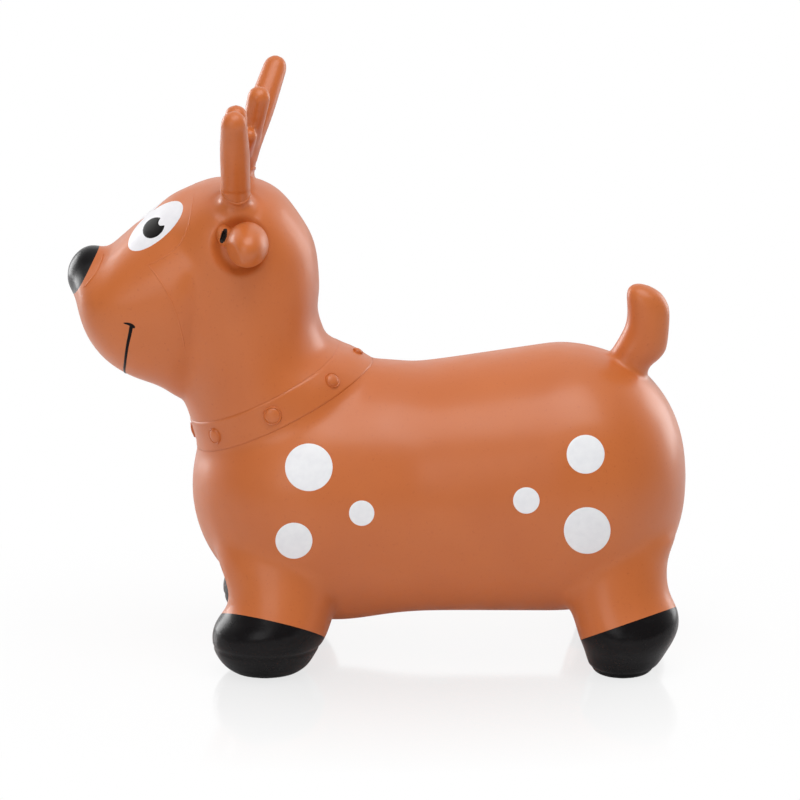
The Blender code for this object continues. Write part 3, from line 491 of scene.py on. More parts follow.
def smooth_rows(rows, steps):
    """More rows on a smooth curve through the given ones."""
    rows = np.array(rows, float)
    padded = np.vstack([2 * rows[0] - rows[1], rows, 2 * rows[-1] - rows[-2]])
    t = (np.arange(steps) / steps)[:, None]
    found = []
    for i in range(len(rows) - 1):
        a, b, c, d = padded[i : i + 4]
        curve = 2 * b + (c - a) * t + (2 * a - 5 * b + 4 * c - d) * t**2
        found.append(0.5 * (curve + (3 * b - a - 3 * c + d) * t**3))
    return np.vstack(found + [rows[-1:]])


def turns(count):
    """The angles of equal steps all round."""
    return [2 * math.pi * k / count for k in range(count)]


def oval(first, second, half_breadth, y=0.0, sides=OVAL_SIDES):
    """A ring whose one way runs between two points of the side view, and the other along Y."""
    first, second = np.array(first), np.array(second)
    middle, half = (first + second) / 2, (first - second) / 2
    turn = np.arange(sides) * (2 * math.pi / sides)
    side_view = middle + np.cos(turn)[:, None] * half
    across = y + half_breadth * np.sin(turn)
    return np.stack([side_view[:, 0], across, side_view[:, 1]], 1)


def circle(centre, axis, radius):
    across = (Vector((1, 0, 0)) - axis * axis.x).normalized()
    other = axis.cross(across)
    angles = turns(LIMB_SIDES)
    return [centre + radius * (across * math.cos(t) + other * math.sin(t)) for t in angles]


def loft(rings, start=None, end=None):
    """A closed body through rings of equally many points, with a point at each end."""
    made = bmesh.new()
    loops = [[made.verts.new(tuple(p)) for p in ring] for ring in rings]
    sides = len(rings[0])
    for low, high in zip(loops, loops[1:]):
        for i in range(sides):
            j = (i + 1) % sides
            made.faces.new((low[i], low[j], high[j], high[i]))
    for at, point in ((0, start), (-1, end)):
        tip = made.verts.new(tuple(np.mean(rings[at], axis=0) if point is None else point))
        for i in range(sides):
            made.faces.new((loops[at][i], loops[at][(i + 1) % sides], tip))
    bmesh.ops.recalc_face_normals(made, faces=made.faces)
    return made


def oval_rows(place, breadth, rows):
    """Rows of shares as rows of metres, where place() gives a point of the side view."""
    return [(*place(*row[0:2]), *place(*row[2:4]), row[4] * breadth) for row in rows]


def oval_loft(rows, steps, sides, start, end):
    """A body through ovals, each given by its two ends in the side view and its half breadth;
    also the smooth rows that it runs through."""
    table = smooth_rows(rows, steps)
    rings = [oval(row[0:2], row[2:4], row[4], sides=sides) for row in table]
    return loft(rings, start, end), table


def limb(rows):
    """A round limb with a domed end through places and radii; also its smooth rows."""
    table = smooth_rows(rows, LIMB_STEPS)
    centres = [Vector(row[:3]) for row in table]
    rings = []
    for i, (centre, radius) in enumerate(zip(centres, table[:, 3].tolist())):
        tangent = (centres[min(i + 1, len(table) - 1)] - centres[max(i - 1, 0)]).normalized()
        rings.append(circle(centre, tangent, radius))
    for k in range(1, DOME_STEPS):
        angle = math.pi / 2 * k / DOME_STEPS
        centre = centres[-1] + tangent * radius * math.sin(angle)
        rings.append(circle(centre, tangent, radius * math.cos(angle)))
    return loft(rings, centres[0], centres[-1] + tangent * radius), table


def ball(centre, radii, turn=Matrix.Identity(3)):
    made = bmesh.new()
    bmesh.ops.create_uvsphere(made, u_segments=BALL_SIDES, v_segments=BALL_RINGS, radius=1.0)
    place = Matrix.Translation(centre) @ turn.to_4x4() @ Matrix.Diagonal((*radii, 1.0))
    bmesh.ops.transform(made, matrix=place, verts=made.verts)
    return made


def baked(obj, kind, **values):
    """Replaces the object's mesh by what one modifier makes of it."""
    step = obj.modifiers.new(kind, kind)
    for key, value in values.items():
        setattr(step, key, value)
    graph = bpy.context.evaluated_depsgraph_get()
    graph.update()
    mesh = bpy.data.meshes.new_from_object(obj.evaluated_get(graph))
    obj.modifiers.clear()
    old, obj.data = obj.data, mesh
    bpy.data.meshes.remove(old)
    return obj


def union(name, forms, voxel):
    """One closed mesh of small quads round all the forms."""
    joined = bmesh.new()
    for form in forms:
        mesh = from_bmesh("form", form)
        joined.from_mesh(mesh)
        bpy.data.meshes.remove(mesh)
    obj = add_object(name, from_bmesh(name, joined))
    return baked(obj, "REMESH", mode="VOXEL", voxel_size=voxel)


def read(items, name, width, kind=float):
    values = np.empty(len(items) * width, kind)
    items.foreach_get(name, values)
    return values.reshape(-1, width) if width > 1 else values


def places_of(mesh):
    return read(mesh.vertices, "co", 3)


def put_places(mesh, co):
    mesh.vertices.foreach_set("co", co.ravel())
    mesh.update()


def normals_of(mesh):
    return read(mesh.vertex_normals, "vector", 3)


def corners_of(mesh, faces):
    """The points of each of these faces."""
    loops = read(mesh.loops, "vertex_index", 1, np.int32)
    starts = read(mesh.polygons, "loop_start", 1, np.int32)
    ends = starts + read(mesh.polygons, "loop_total", 1, np.int32)
    return [loops[starts[f] : ends[f]].tolist() for f in faces]


def relax(mesh, weight, rounds):
    """Moves each point towards its neighbours' middle, rounds times."""
    co = places_of(mesh)
    a, b = read(mesh.edges, "vertices", 2, np.int32).T
    count = len(co)
    weight = np.broadcast_to(weight, (count, 1))
    moving = weight[:, 0] > LEAST_WEIGHT
    near = moving[a] | moving[b]
    a, b = a[near], b[near]
    shared = (np.bincount(a, minlength=count) + np.bincount(b, minlength=count))[:, None]
    shared = np.maximum(shared, 1)
    for _ in range(rounds):
        sums = [np.bincount(a, v[b], count) + np.bincount(b, v[a], count) for v in co.T]
        co += np.where(shared > 2, weight, 0.0) * (np.stack(sums, 1) / shared - co)
    put_places(mesh, co)


def step_up(value, low, high):
    """0 below low, 1 above high and smooth between."""
    t = np.clip((value - low) / (high - low), 0, 1)
    return t * t * (3 - 2 * t)


def bell(rows, middle, spread):
    """1 for a row at the middle, and smoothly less round it."""
    return np.exp(-(((rows - middle) / spread) ** 2).sum(axis=1))


# The skin's forms


def torso():
    front_x, rear_x = CHEST_X, CHEST_X + TORSO_LENGTH
    rings = []
    for i in range(1, TORSO_RINGS):
        way = (1 - math.cos(math.pi * i / TORSO_RINGS)) / 2
        x = front_x + TORSO_LENGTH * way
        radius = np.interp(way, TORSO_STATIONS, (CHEST_RADIUS, WAIST_RADIUS, HIP_RADIUS))
        level = BELLY_HEIGHT + radius
        inset = max(0.0, 1 - min(x - front_x, rear_x - x) / radius)
        power = CHEST_POWER if way < 0.5 else RUMP_POWER
        half = radius * (1 - inset**power) ** (1 / power)
        rings.append(oval((x, level + half), (x, level - half), half, sides=96))
    start = (front_x, 0.0, BELLY_HEIGHT + CHEST_RADIUS)
    return loft(rings, start, (rear_x, 0.0, BELLY_HEIGHT + HIP_RADIUS))


def collar_point(share, lift):
    """A point of the side view at a share of the collar's radius to the front, and lifted."""
    tilt = math.radians(COLLAR_TILT_DEG)
    x = COLLAR_X - share * COLLAR_RADIUS * math.cos(tilt) - lift * math.sin(tilt)
    z = COLLAR_Z - share * COLLAR_RADIUS * math.sin(tilt) + lift * math.cos(tilt)
    return x, z


def head_point(forward, up):
    """A side-view point in the head's box, forward from the nape and up from the collar."""
    return NAPE_X - HEAD_LENGTH * forward, COLLAR_Z + HEAD_HEIGHT * up


def on_middle(point):
    """A point of the side view on the animal's middle plane."""
    return Vector((point[0], 0.0, point[1]))


def cranium():
    rows = []
    for front, back, lift, breadth in NECK:
        ends = [collar_point(share, lift * COLLAR_WIDTH) for share in (front, back)]
        rows.append((*ends[0], *ends[1], breadth * COLLAR_HALF_BREADTH))
    rows += oval_rows(head_point, HEAD_BREADTH, CRANIUM)
    foot = on_middle(collar_point(NECK_FOOT[0], NECK_FOOT[1] * COLLAR_WIDTH))
    return oval_loft(rows, HEAD_STEPS, OVAL_SIDES, foot, on_middle(head_point(*CRANIUM_TOP)))[0]


def muzzle():
    rows = oval_rows(head_point, HEAD_BREADTH, MUZZLE)
    tip, end = (on_middle(head_point(*place)) for place in (MUZZLE_TIP, MUZZLE_END))
    return oval_loft(rows, HEAD_STEPS, OVAL_SIDES, tip, end)[0]


def nose_place():
    return on_middle(head_point(*NOSE_PLACE))


def leg_x(x, sense, side):
    """Where a leg's foot stands, given its pair's place."""
    return x - sense * RIGHT_LEG_INSET if side > 0 else x


def leg(pair_x, sense, length, shares, side):
    rings = []
    x = leg_x(pair_x, sense, side)
    rows = smooth_rows(np.column_stack([LEG_UP, LEG_OUTWARD, *shares]), LEG_STEPS)
    for up, outward, outer, inner, half_breadth in rows:
        first = (x + sense * outer * length, up * HOOF_HEIGHT)
        second = (x - sense * inner * length, up * HOOF_HEIGHT)
        y = side * (LEG_SPACING / 2 + outward * HOOF_BREADTH)
        rings.append(oval(first, second, half_breadth * HOOF_BREADTH, y, LEG_SIDES))
    return loft(rings)


def antler_limbs(side, rise, lean, tine_rise, stout):
    root = np.array([ANTLER_X, side * ANTLER_Y, ANTLER_Z])
    arms = (
        (BEAM, BEAM_RADIUS * stout, rise),
        (TINE, TINE_RADIUS, rise * tine_rise),
        (LOW_TINE, LOW_TINE_RADIUS, rise),
    )
    for rows, radius, reach in arms:
        table = np.array(rows)
        places = root + table[:, [2, 1, 0]] * (lean, side * ANTLER_SPREAD, reach)
        yield limb(np.column_stack([places, radius * table[:, 3]]))


def tail_point(back, up):
    return TAIL_X + TAIL_LENGTH * back, TAIL_Z + TAIL_HEIGHT * up


def tail_form():
    """The tail, and the places and radii along its axis."""
    rows = oval_rows(tail_point, TAIL_BREADTH, TAIL_ROWS)
    top = on_middle(tail_point(*TAIL_TOP))
    form, table = oval_loft(rows, TAIL_STEPS, TAIL_SIDES, None, top)
    middle, half = (table[:, 0:2] + table[:, 2:4]) / 2, (table[:, 0:2] - table[:, 2:4]) / 2
    radius = np.maximum(np.linalg.norm(half, axis=1), TAIL_BREADTH / 2)
    return form, np.stack([middle[:, 0], 0 * radius, middle[:, 1], radius], 1)


def skin_mesh():
    """The whole skin in one closed mesh, with soft fillets, from nose to tail."""
    forms = [torso(), cranium(), muzzle(), ball(nose_place(), Vector(NOSE_SIZE) / 2, NOSE_TURN)]
    for _, x, sense, length, shares, *_ in LEGS:
        forms += [leg(x, sense, length, shares, side) for side in SIDES.values()]
    thin = [pair for antler in ANTLERS.values() for pair in antler_limbs(*antler)]
    thin.append(tail_form())
    skin = union("skin", forms + [form for form, _ in thin], VOXEL)
    mesh = skin.data
    relax(mesh, HALFWAY, FIRST_ROUNDS)
    co = places_of(mesh)
    reach = np.full(len(co), np.inf)
    for x, y, z, radius in np.vstack([axis for _, axis in thin]):
        reach = np.minimum(reach, np.linalg.norm(co - (x, y, z), axis=1) / radius)
    relax(mesh, HALFWAY * step_up(reach, *THIN_REACH)[:, None], FILLET_ROUNDS)
    co = places_of(mesh)
    throat = bell(co, THROAT, THROAT_SPREAD) * step_up(np.abs(co[:, 1]), *THROAT_Y)
    relax(mesh, HALFWAY * throat[:, None], THROAT_ROUNDS)
    shape_details(mesh)
    return skin


def shape_details(mesh):
    """Dishes and swells the skin, grooves the antlers' feet and the hooves, flattens the soles."""
    co, normals = places_of(mesh), normals_of(mesh)
    from_ear = np.hypot(co[:, 0] - DIMPLE_CENTRE[0], co[:, 2] - DIMPLE_CENTRE[1])
    dish = 1 - step_up(from_ear, DIMPLE_FLAT * DIMPLE_RADIUS, DIMPLE_RADIUS)
    push = -DIMPLE_DEPTH * dish * step_up(np.abs(co[:, 1]), *DIMPLE_Y)
    folded = np.abs(co * (0, 1, 0)) + co * (1, 0, 1)
    for place, spread, lift in SWELLS:
        push += lift * bell(folded, place, spread)
    depth, radius, spread = ANTLER_GROOVE
    near = (co[:, 2] > ANTLER_GROOVE_Z[0]) & (co[:, 2] < ANTLER_GROOVE_Z[1])
    for side in SIDES.values():
        from_antler = np.hypot(co[:, 0] - ANTLER_X, co[:, 1] - side * ANTLER_Y)
        push -= depth * bell(from_antler[:, None], radius, spread) * near
    depth, reach, top, spread = HOOF_GROOVE
    for end, x, *_ in LEGS:
        near = (np.abs(co[:, 0] - x) < reach) & (co[:, 2] < top)
        push -= depth * bell(co[:, 2:], HOOF_GROOVE_Z[end], spread) * near
    co += normals * push[:, None]
    co[:, 2] = np.maximum(co[:, 2], SOLE_Z)
    put_places(mesh, co)


# Sections of the skin: cut along planes, each a closed shell that keeps the whole skin's normals


def leg_planes():
    """Each leg's name, its middle at the paint line and at the crease, the normals of their
    planes, and a reach below the crease."""
    for end, x, sense, _, _, outward, fore, bend in LEGS:
        for name, side in SIDES.items():
            middle = Vector((leg_x(x, sense, side), side * LEG_SPACING / 2, PAINT_LINE_Z))
            along = sense * math.tan(math.radians(fore))
            normals = []
            for angle in (outward, LEG_LINE_OUTWARD_DEG):
                across = side * math.tan(math.radians(angle))
                normals.append(Vector((-along, -across, 1.0)).normalized())
            above = middle + Vector((0, 0, LEG_LINE_Z - PAINT_LINE_Z))
            yield f"{end}_{name}", middle, above, *normals, bend


def cut_lines():
    """The planes that part the skin: a point, the way to what lies past it, the box that it
    cuts in, and the name of what lies past it."""
    edge = COLLAR_AXIS * COLLAR_EDGE
    nose_line = nose_place() + NOSE_FORWARD * NOSE_LINE_SHIFT
    found = [
        (COLLAR_MIDDLE - edge, COLLAR_AXIS, *ANYWHERE, "under_collar"),
        (COLLAR_MIDDLE + edge, COLLAR_AXIS, *ANYWHERE, "head"),
        (nose_line, NOSE_FORWARD, *NOSE_BOX, "nose"),
        (TAIL_CUT, TAIL_WAY, *TAIL_BOX, "tail"),
    ]
    for name, side in SIDES.items():
        low, high = (-1, min(side, 0), ANTLER_BOX_Z), (1, max(side, 0), 1)
        found.append((ANTLER_CUT, Vector((0, 0, 1)), low, high, name + "_antler"))
    for name, middle, above, paint, crease, _ in leg_planes():
        box = middle - LEG_BOX, middle + LEG_BOX
        found.append((above, -crease, *box, name + "_leg"))
        found.append((middle, -paint, *box, name + "_hoof"))
    return found


def within(places, low, high):
    return ((places > low) & (places < high)).all(axis=1)


def past(places, point, normal):
    """How far past a plane each place lies."""
    return (places - np.array(point)) @ np.array(normal)


def cut_sections(skin):
    """The skin's mesh cut along every line, and each face's section."""
    made = bmesh_of(skin.data)
    normal_layer = made.verts.layers.float_vector.new("whole_normal")
    made.normal_update()
    for vert in made.verts:
        vert[normal_layer] = vert.normal
    lines = cut_lines()
    for point, normal, low, high, _ in lines:
        made.faces.ensure_lookup_table()
        first = np.array([f.verts[0].co for f in made.faces])
        near = np.abs(past(first, point, normal)) < CUT_REACH
        faces = [made.faces[i] for i in np.flatnonzero(near & within(first, low, high))]
        geom = list({item for face in faces for item in (face, *face.edges, *face.verts)})
        bmesh.ops.bisect_plane(made, geom=geom, dist=MERGE, plane_co=point, plane_no=normal)
    mesh = from_bmesh("skin_cut", made)
    centres = read(mesh.polygons, "center", 3)
    section = np.full(len(centres), "torso", dtype=object)
    for point, normal, low, high, name in lines:
        section[(past(centres, point, normal) > 0) & within(centres, low, high)] = name
    from_valve = np.hypot(centres[:, 0] - VALVE_X, centres[:, 1])
    section[(from_valve < VALVE_HOLE_RADIUS) & (centres[:, 2] < VALVE_HOLE_TOP)] = "valve_hole"
    return mesh, section


def shell_piece(name, mesh, faces, wall=WALL):
    """A closed shell of some of the skin's faces, whose outside keeps the whole skin's normals."""
    polygons = corners_of(mesh, faces)
    used = sorted({v for polygon in polygons for v in polygon})
    count = len(used)
    where = {v: i for i, v in enumerate(used)}
    co = places_of(mesh)[used]
    normals = read(mesh.attributes["whole_normal"].data, "vector", 3)[used]
    normals /= np.linalg.norm(normals, axis=1)[:, None]
    outer = [[where[v] for v in polygon] for polygon in polygons]
    made = new_mesh(name, np.vstack([co, co - normals * wall]), shell_faces(outer, count))
    made.polygons.foreach_set("use_smooth", np.ones(len(made.polygons), bool))
    corner = read(made.loops, "vertex_index", 1, np.int32)
    both = np.vstack([normals, -normals])[corner]
    rim_start = sum(len(polygon) for polygon in outer) * 2
    face_normals = read(made.polygons, "normal", 3)[len(outer) * 2 :]
    both[rim_start:] = np.repeat(face_normals, 4, axis=0)
    made.normals_split_custom_set(both)
    return add_object(name, made)


# Pieces laid on the skin


def camera_frame():
    """The camera's place, and its ways to the right, up and forward."""
    rise = math.radians(CAMERA_RISE_DEG)
    up = np.array([0.0, math.sin(rise), math.cos(rise)])
    forward = np.array([0.0, math.cos(rise), -math.sin(rise)])
    return CAMERA_TARGET - CAMERA_DISTANCE * forward, np.array([1.0, 0.0, 0.0]), up, forward


def sight(px, py):
    """The camera's place, and the way it looks through a point of the picture."""
    place, right, up, forward = camera_frame()
    focal = PIXELS_PER_METRE * CAMERA_DISTANCE
    middle = PICTURE / 2
    way = forward + right * (px - middle) / focal + up * (middle - py) / focal
    return Vector(place), Vector(way).normalized()


class Surface:
    """The skin as something that prints and trims are laid on. Each method gives a point of the
    skin and its smooth normal there."""

    def __init__(self, mesh):
        self.co = places_of(mesh)
        self.normals = normals_of(mesh)
        self.faces = corners_of(mesh, range(len(mesh.polygons)))
        self.tree = BVHTree.FromPolygons([Vector(c) for c in self.co], self.faces)

    def at(self, hit):
        point, _, face, _ = hit
        corners = self.faces[face]
        gaps = np.linalg.norm(self.co[corners] - np.array(point), axis=1) + 1e-6
        mean = (self.normals[corners] / gaps[:, None]).sum(axis=0)
        return point, Vector(mean).normalized()

    def out(self, start, way):
        return self.at(self.tree.ray_cast(Vector(start), Vector(way)))

    def nearest(self, point):
        return self.at(self.tree.find_nearest(Vector(point)))

    def seen(self, px, py):
        """Under a point of the picture, or beside it where the sight misses the skin."""
        start, way = sight(px, py)
        hit = self.tree.ray_cast(start, way)
        if hit[2] is None:
            hit = self.tree.find_nearest(start - way * start.y / way.y)
        return self.at(hit)


def sided(place, side):
    """A place with its Y turned to a side, or with -1 to the other side."""
    return Vector((place[0], side * place[1], place[2]))


def laid(name, rows, columns, place, round_rows=False, round_columns=False):
    """A closed body on the skin: place() gives a point outside and one inside for each row and
    column, and the grid may close on itself."""
    grid = [[place(row, column) for column in columns] for row in rows]
    points = [pair[k] for k in (0, 1) for line in grid for pair in line]
    faces = grid_faces(len(rows), len(columns), round_rows, round_columns)
    return finished(name, points, shell_faces(faces, len(points) // 2))


def print_profile(share):
    """How high a print stands at a share of its radius: flat, rounded off at its edge."""
    return PRINT_HEIGHT * math.sqrt(max(0.0, 1 - share**8)) - PRINT_EDGE_DROP * share**8


def pupil_profile(share):
    return print_profile(share) + PRINT_HEIGHT


def patch(node, ink, surface, outline, centre, side, height, rings, sides):
    """A thin printed patch: outline(angle) gives its reach in pixels from its centre."""

    def place(share, angle):
        dx, dy = outline(angle)
        point, normal = surface.seen(centre[0] + dx * share, centre[1] + dy * share)
        if side > 0:
            point, normal = surface.nearest(sided(point, -1))
        return point + normal * height(share), point - normal * PRINT_ROOT

    shares = np.linspace(0, 1, rings) ** RING_POWER
    dress(laid(node + "_form", shares, turns(sides), place, round_columns=True), ink, node)


def ellipse(long_radius, short_radius, rise_deg=0.0):
    cos, sin = math.cos(math.radians(rise_deg)), math.sin(math.radians(rise_deg))

    def outline(angle):
        a, b = long_radius * math.cos(angle), short_radius * math.sin(angle)
        return a * cos + b * sin, -a * sin + b * cos

    return outline


def strip(name, finish, surface, path, widths, height, *nodes, closed=False):
    """A narrow raised line laid along points of the skin."""
    count = len(path)
    feet = []
    for i, (place, width) in enumerate(zip(path, widths)):
        before = path[(i - 1) % count] if closed else path[max(i - 1, 0)]
        after = path[(i + 1) % count] if closed else path[min(i + 1, count - 1)]
        point, normal = surface.nearest(place)
        across = normal.cross(Vector(after) - Vector(before)).normalized()
        feet.append((point, across, width))

    def place(foot, column):
        point, across, width = foot
        way, rise = column
        point, normal = surface.nearest(point + across * way * width / 2)
        return point + normal * rise * height, point - normal * STRIP_ROOT

    dress(laid(name, feet, STRIP_PROFILE, place, round_rows=closed), finish, *nodes)


def collar_band(surface):
    def place(row, angle):
        lift, relief = row
        way = COLLAR_TURN @ Vector((-math.cos(angle), -math.sin(angle), 0))
        point, normal = surface.out(COLLAR_MIDDLE + COLLAR_AXIS * lift, way)
        flat = (normal - COLLAR_AXIS * normal.dot(COLLAR_AXIS)).normalized()
        return point + flat * relief, point - flat * WALL

    angles = [math.radians(k) for k in range(360)]
    return laid("collar_band_form", COLLAR_PROFILE, angles, place, round_columns=True)


def stud(name, surface, index):
    """A low moulded dome with a thin raised rim round it."""
    angle = 2 * math.pi * index / STUD_COUNT
    radius = STUD_RADIUS * (1 + SIDE_STUD_MORE * math.sin(angle) ** 8)
    radius *= 1 - BACK_STUD_LESS * max(0.0, -math.cos(angle)) ** 8
    way = Vector((-COLLAR_RADIUS * math.cos(angle), -COLLAR_HALF_BREADTH * math.sin(angle), 0))
    point, normal = surface.out(COLLAR_MIDDLE, (COLLAR_TURN @ way).normalized())
    side = normal.cross(Vector((0, 0, 1))).normalized()
    other = normal.cross(side)

    def place(row, t):
        share, rise = row
        foot = point + (side * math.cos(t) + other * math.sin(t)) * share * radius
        foot, foot_normal = surface.nearest(foot)
        return foot + foot_normal * (rise + STUD_LIFT), foot - foot_normal * STUD_ROOT

    return laid(name, STUD_PROFILE, turns(STUD_SIDES), place, round_columns=True)


# Materials


def srgb(r, g, b):
    values = np.array([r, g, b]) / 255
    low, high = values / 12.92, ((values + 0.055) / 1.055) ** 2.4
    return (*np.where(values <= 0.04045, low, high).tolist(), 1.0)


class Nodes:
    """A node tree that is written a line at a time."""

    def __init__(self, owner):
        owner.use_nodes = True
        self.nodes, self.links = owner.node_tree.nodes, owner.node_tree.links

    def put(self, socket, value):
        """Gives an input a value, or the output of another node."""
        if isinstance(value, bpy.types.NodeSocket):
            self.links.new(value, socket)
        else:
            socket.default_value = value

    def add(self, kind, inputs=(), **values):
        node = self.nodes.new("ShaderNode" + kind)
        for key, value in values.items():
            setattr(node, key, value)
        for key, value in dict(inputs).items():
            self.put(node.inputs[key], value)
        return node.outputs

    def span(self, value, low, high, from_low=0.3, from_high=0.7, **values):
        inputs = {"From Min": from_low, "From Max": from_high, "To Min": low, "To Max": high}
        return self.add("MapRange", {"Value": value, **inputs}, **values)["Result"]


class Material(Nodes):
    def __init__(self, name):
        self.made = bpy.data.materials.new(name)
        super().__init__(self.made)
        self.shader = self.nodes["Principled BSDF"]
        self.place = self.add("TexCoord")["Object"]
        self.normal = None

    def set(self, **values):
        for key, value in values.items():
            self.put(self.shader.inputs[key.replace("_", " ")], value)

    def noise(self, scale, detail, stretch=(1, 1, 1), distortion=0.0):
        place = self.add("Mapping", {"Scale": stretch, "Vector": self.place})["Vector"]
        inputs = {"Scale": scale, "Detail": detail, "Distortion": distortion, "Vector": place}
        return self.add("TexNoise", inputs)["Fac"]

    def mix(self, factor, first, second):
        inputs = {"Factor": factor, MIX_COLOURS[0]: first, MIX_COLOURS[1]: second}
        return self.add("Mix", inputs, data_type="RGBA")[MIX_RESULT]

    def mottle(self, first, second, scale, detail):
        """Clouds between two colours."""
        return self.mix(self.span(self.noise(scale, detail), 0, 1), first, second)

    def bump(self, strength, distance, *noise):
        """One more relief over those so far."""
        inputs = {"Height": self.noise(*noise), "Strength": strength, "Distance": distance}
        if self.normal:
            inputs["Normal"] = self.normal
        self.normal = self.add("Bump", inputs)["Normal"]
        self.set(Normal=self.normal)


def brown_pvc():
    """Satin vinyl: cloudy pigment, a fine mould grain and soft waves in the sheen."""
    m = Material("brown_satin_pvc")
    tint = m.mottle(srgb(193, 100, 42), srgb(200, 107, 47), 9.0, 3.0)
    speck = m.span(m.noise(420.0, 2.0), 0, 1, 0.62, 0.80)
    m.set(Base_Color=m.mix(speck, tint, srgb(187, 95, 40)))
    m.set(Roughness=m.span(m.noise(26.0, 4.0), 0.38, 0.50))
    m.set(Specular_IOR_Level=0.5, Coat_Weight=0.20, Coat_Roughness=0.20)
    m.bump(0.20, 0.0010, 38.0, 2.0)
    m.bump(0.10, 0.00020, 1400.0, 2.0)
    return m.made


def black_paint(name, rough):
    """Thick black paint: glossy, with scuffs and a slight orange peel."""
    m = Material(name)
    scuff = m.span(m.noise(55.0, 6.0, (1, 1, 2.5), 0.6), 0, 1, 0.56, 0.74)
    m.set(Base_Color=m.mix(scuff, srgb(19, 17, 18), srgb(27, 26, 27)))
    m.set(Roughness=m.span(m.noise(40.0, 5.0), *rough), Specular_IOR_Level=0.16)
    m.bump(0.30, 0.0010, 70.0, 4.0, (1, 1, 2.0))
    m.bump(0.12, 0.00020, 700.0, 2.0)
    return m.made


def print_ink(name, colour, deep, rough, gloss=0.5):
    """Screen-printed ink: nearly flat, with a faint mottle and pinholes."""
    m = Material(name)
    m.set(Base_Color=m.mottle(colour, deep, 160.0, 4.0), Specular_IOR_Level=gloss)
    m.set(Roughness=m.span(m.noise(90.0, 3.0), rough - 0.05, rough + 0.05))
    m.bump(0.12, 0.00015, 900.0, 2.0)
    return m.made


def stopper_plastic():
    m = Material("milky_stopper_plastic")
    m.set(Base_Color=m.mottle(srgb(206, 202, 194), srgb(190, 186, 177), 70.0, 3.0))
    m.set(Roughness=m.span(m.noise(120.0, 3.0), 0.34, 0.46))
    m.set(Subsurface_Weight=0.08, Subsurface_Scale=0.004)
    m.bump(0.10, 0.0002, 600.0, 2.0)
    return m.made


# Each finish: its material and its slot
BROWN = brown_pvc(), "brown_pvc"
BLACK = black_paint("black_hoof_paint", (0.20, 0.32)), "black_paint_pvc"
NOSE_BLACK = black_paint("black_nose_paint", (0.22, 0.32)), "black_paint_pvc"
WHITE_INK = print_ink("white_ink", srgb(238, 239, 241), srgb(232, 233, 236), 0.38), "white_print"
EYE_INK = print_ink("eye_white_ink", srgb(236, 235, 238), srgb(229, 228, 232), 0.34), "white_print"
BLACK_INK = print_ink("black_ink", srgb(17, 15, 16), srgb(24, 21, 22), 0.36, 0.08), "black_print"
LINING = print_ink("black_ear_ink", srgb(30, 26, 24), srgb(44, 37, 33), 0.50, 0.20), "black_print"
STOPPER = stopper_plastic(), "stopper_plastic"


def dress(obj, finish, *nodes, body="deer_body"):
    """Gives a piece the material of its finish and the body that it rides on, and hides the nodes
    that it stands for.
    """
    material, slot = finish
    obj.data.materials.clear()
    obj.data.materials.append(material)
    if body:
        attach(obj, body)
    if nodes:
        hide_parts(*nodes)
    return obj


# Building the deer


def build_skin(skin):
    mesh, section = cut_sections(skin)

    def part(name, finish, *nodes, **ridden):
        shell = shell_piece(name + "_form", mesh, np.flatnonzero(section == name))
        return dress(shell, finish, *nodes, **ridden)

    part("head", BROWN, "head_skin")
    part("torso", BROWN, "torso_skin")
    part("nose", NOSE_BLACK, "nose_tip")
    for side in SIDES:
        name = side + "_antler"
        antler = part(name, BROWN, name, name + "_root", body=None)
        start, end = (0, 0, ANTLER_CUT_Z), (0, 0, ANTLER_BEND_END_Z)
        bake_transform(antler)
        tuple(start)
        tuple(end)
    tail = part("tail", BROWN, "tail", "tail_root", body=None)
    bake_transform(tail)
    for name, _, end, _, crease, bend in leg_planes():
        part(name + "_hoof", BLACK, name + "_hoof", body=name + "_hoof_body")
        ring = part(name + "_leg", BROWN, name + "_leg", body=None)
        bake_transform(ring)
        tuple(end)
    bpy.data.meshes.remove(mesh)


def build_collar(surface):
    dress(collar_band(surface), BROWN, "collar_band")
    for index in range(STUD_COUNT):
        node = f"collar_stud_{index + 1}"
        dress(stud(node + "_form", surface, index), BROWN, node)


def pupil_outline():
    """The pupil's ellipse with the round glint cut out of its edge."""
    whole = ellipse(*PUPIL[2:])
    gx, gy, radius = GLINT[0] - PUPIL[0], GLINT[1] - PUPIL[1], GLINT[2]

    def outline(angle):
        dx, dy = whole(angle)
        reach = math.hypot(dx, dy)
        ux, uy = dx / reach, dy / reach
        along = gx * ux + gy * uy
        off = abs(gx * uy - gy * ux)
        if along > 0 and off < radius:
            reach = min(reach, along - math.sqrt(radius**2 - off**2))
        return ux * reach, uy * reach

    return outline


def build_prints(surface):
    for name, side in SIDES.items():
        for place, (px, py, rx, ry) in SPOTS.items():
            node, spot = f"{name}_spot_{place}", ellipse(rx, ry)
            made = spot, (px, py), side, print_profile, PATCH_RINGS, SPOT_SIDES
            patch(node, WHITE_INK, surface, *made)
        made = ellipse(*EYE[2:]), EYE[:2], side, print_profile, PATCH_RINGS, EYE_SIDES
        patch(name + "_eye_white", EYE_INK, surface, *made)
        made = pupil_outline(), PUPIL[:2], side, pupil_profile, PUPIL_RINGS, EYE_SIDES
        patch(name + "_pupil", BLACK_INK, surface, *made)


def seen_path(surface, pixels, steps):
    """Points of the skin along a smooth line in the picture."""
    return [surface.seen(*p)[0] for p in smooth_rows(pixels, steps)]


def on_side(path, side):
    """A path found on the left, on either side."""
    return path if side < 0 else [sided(p, -1) for p in path]


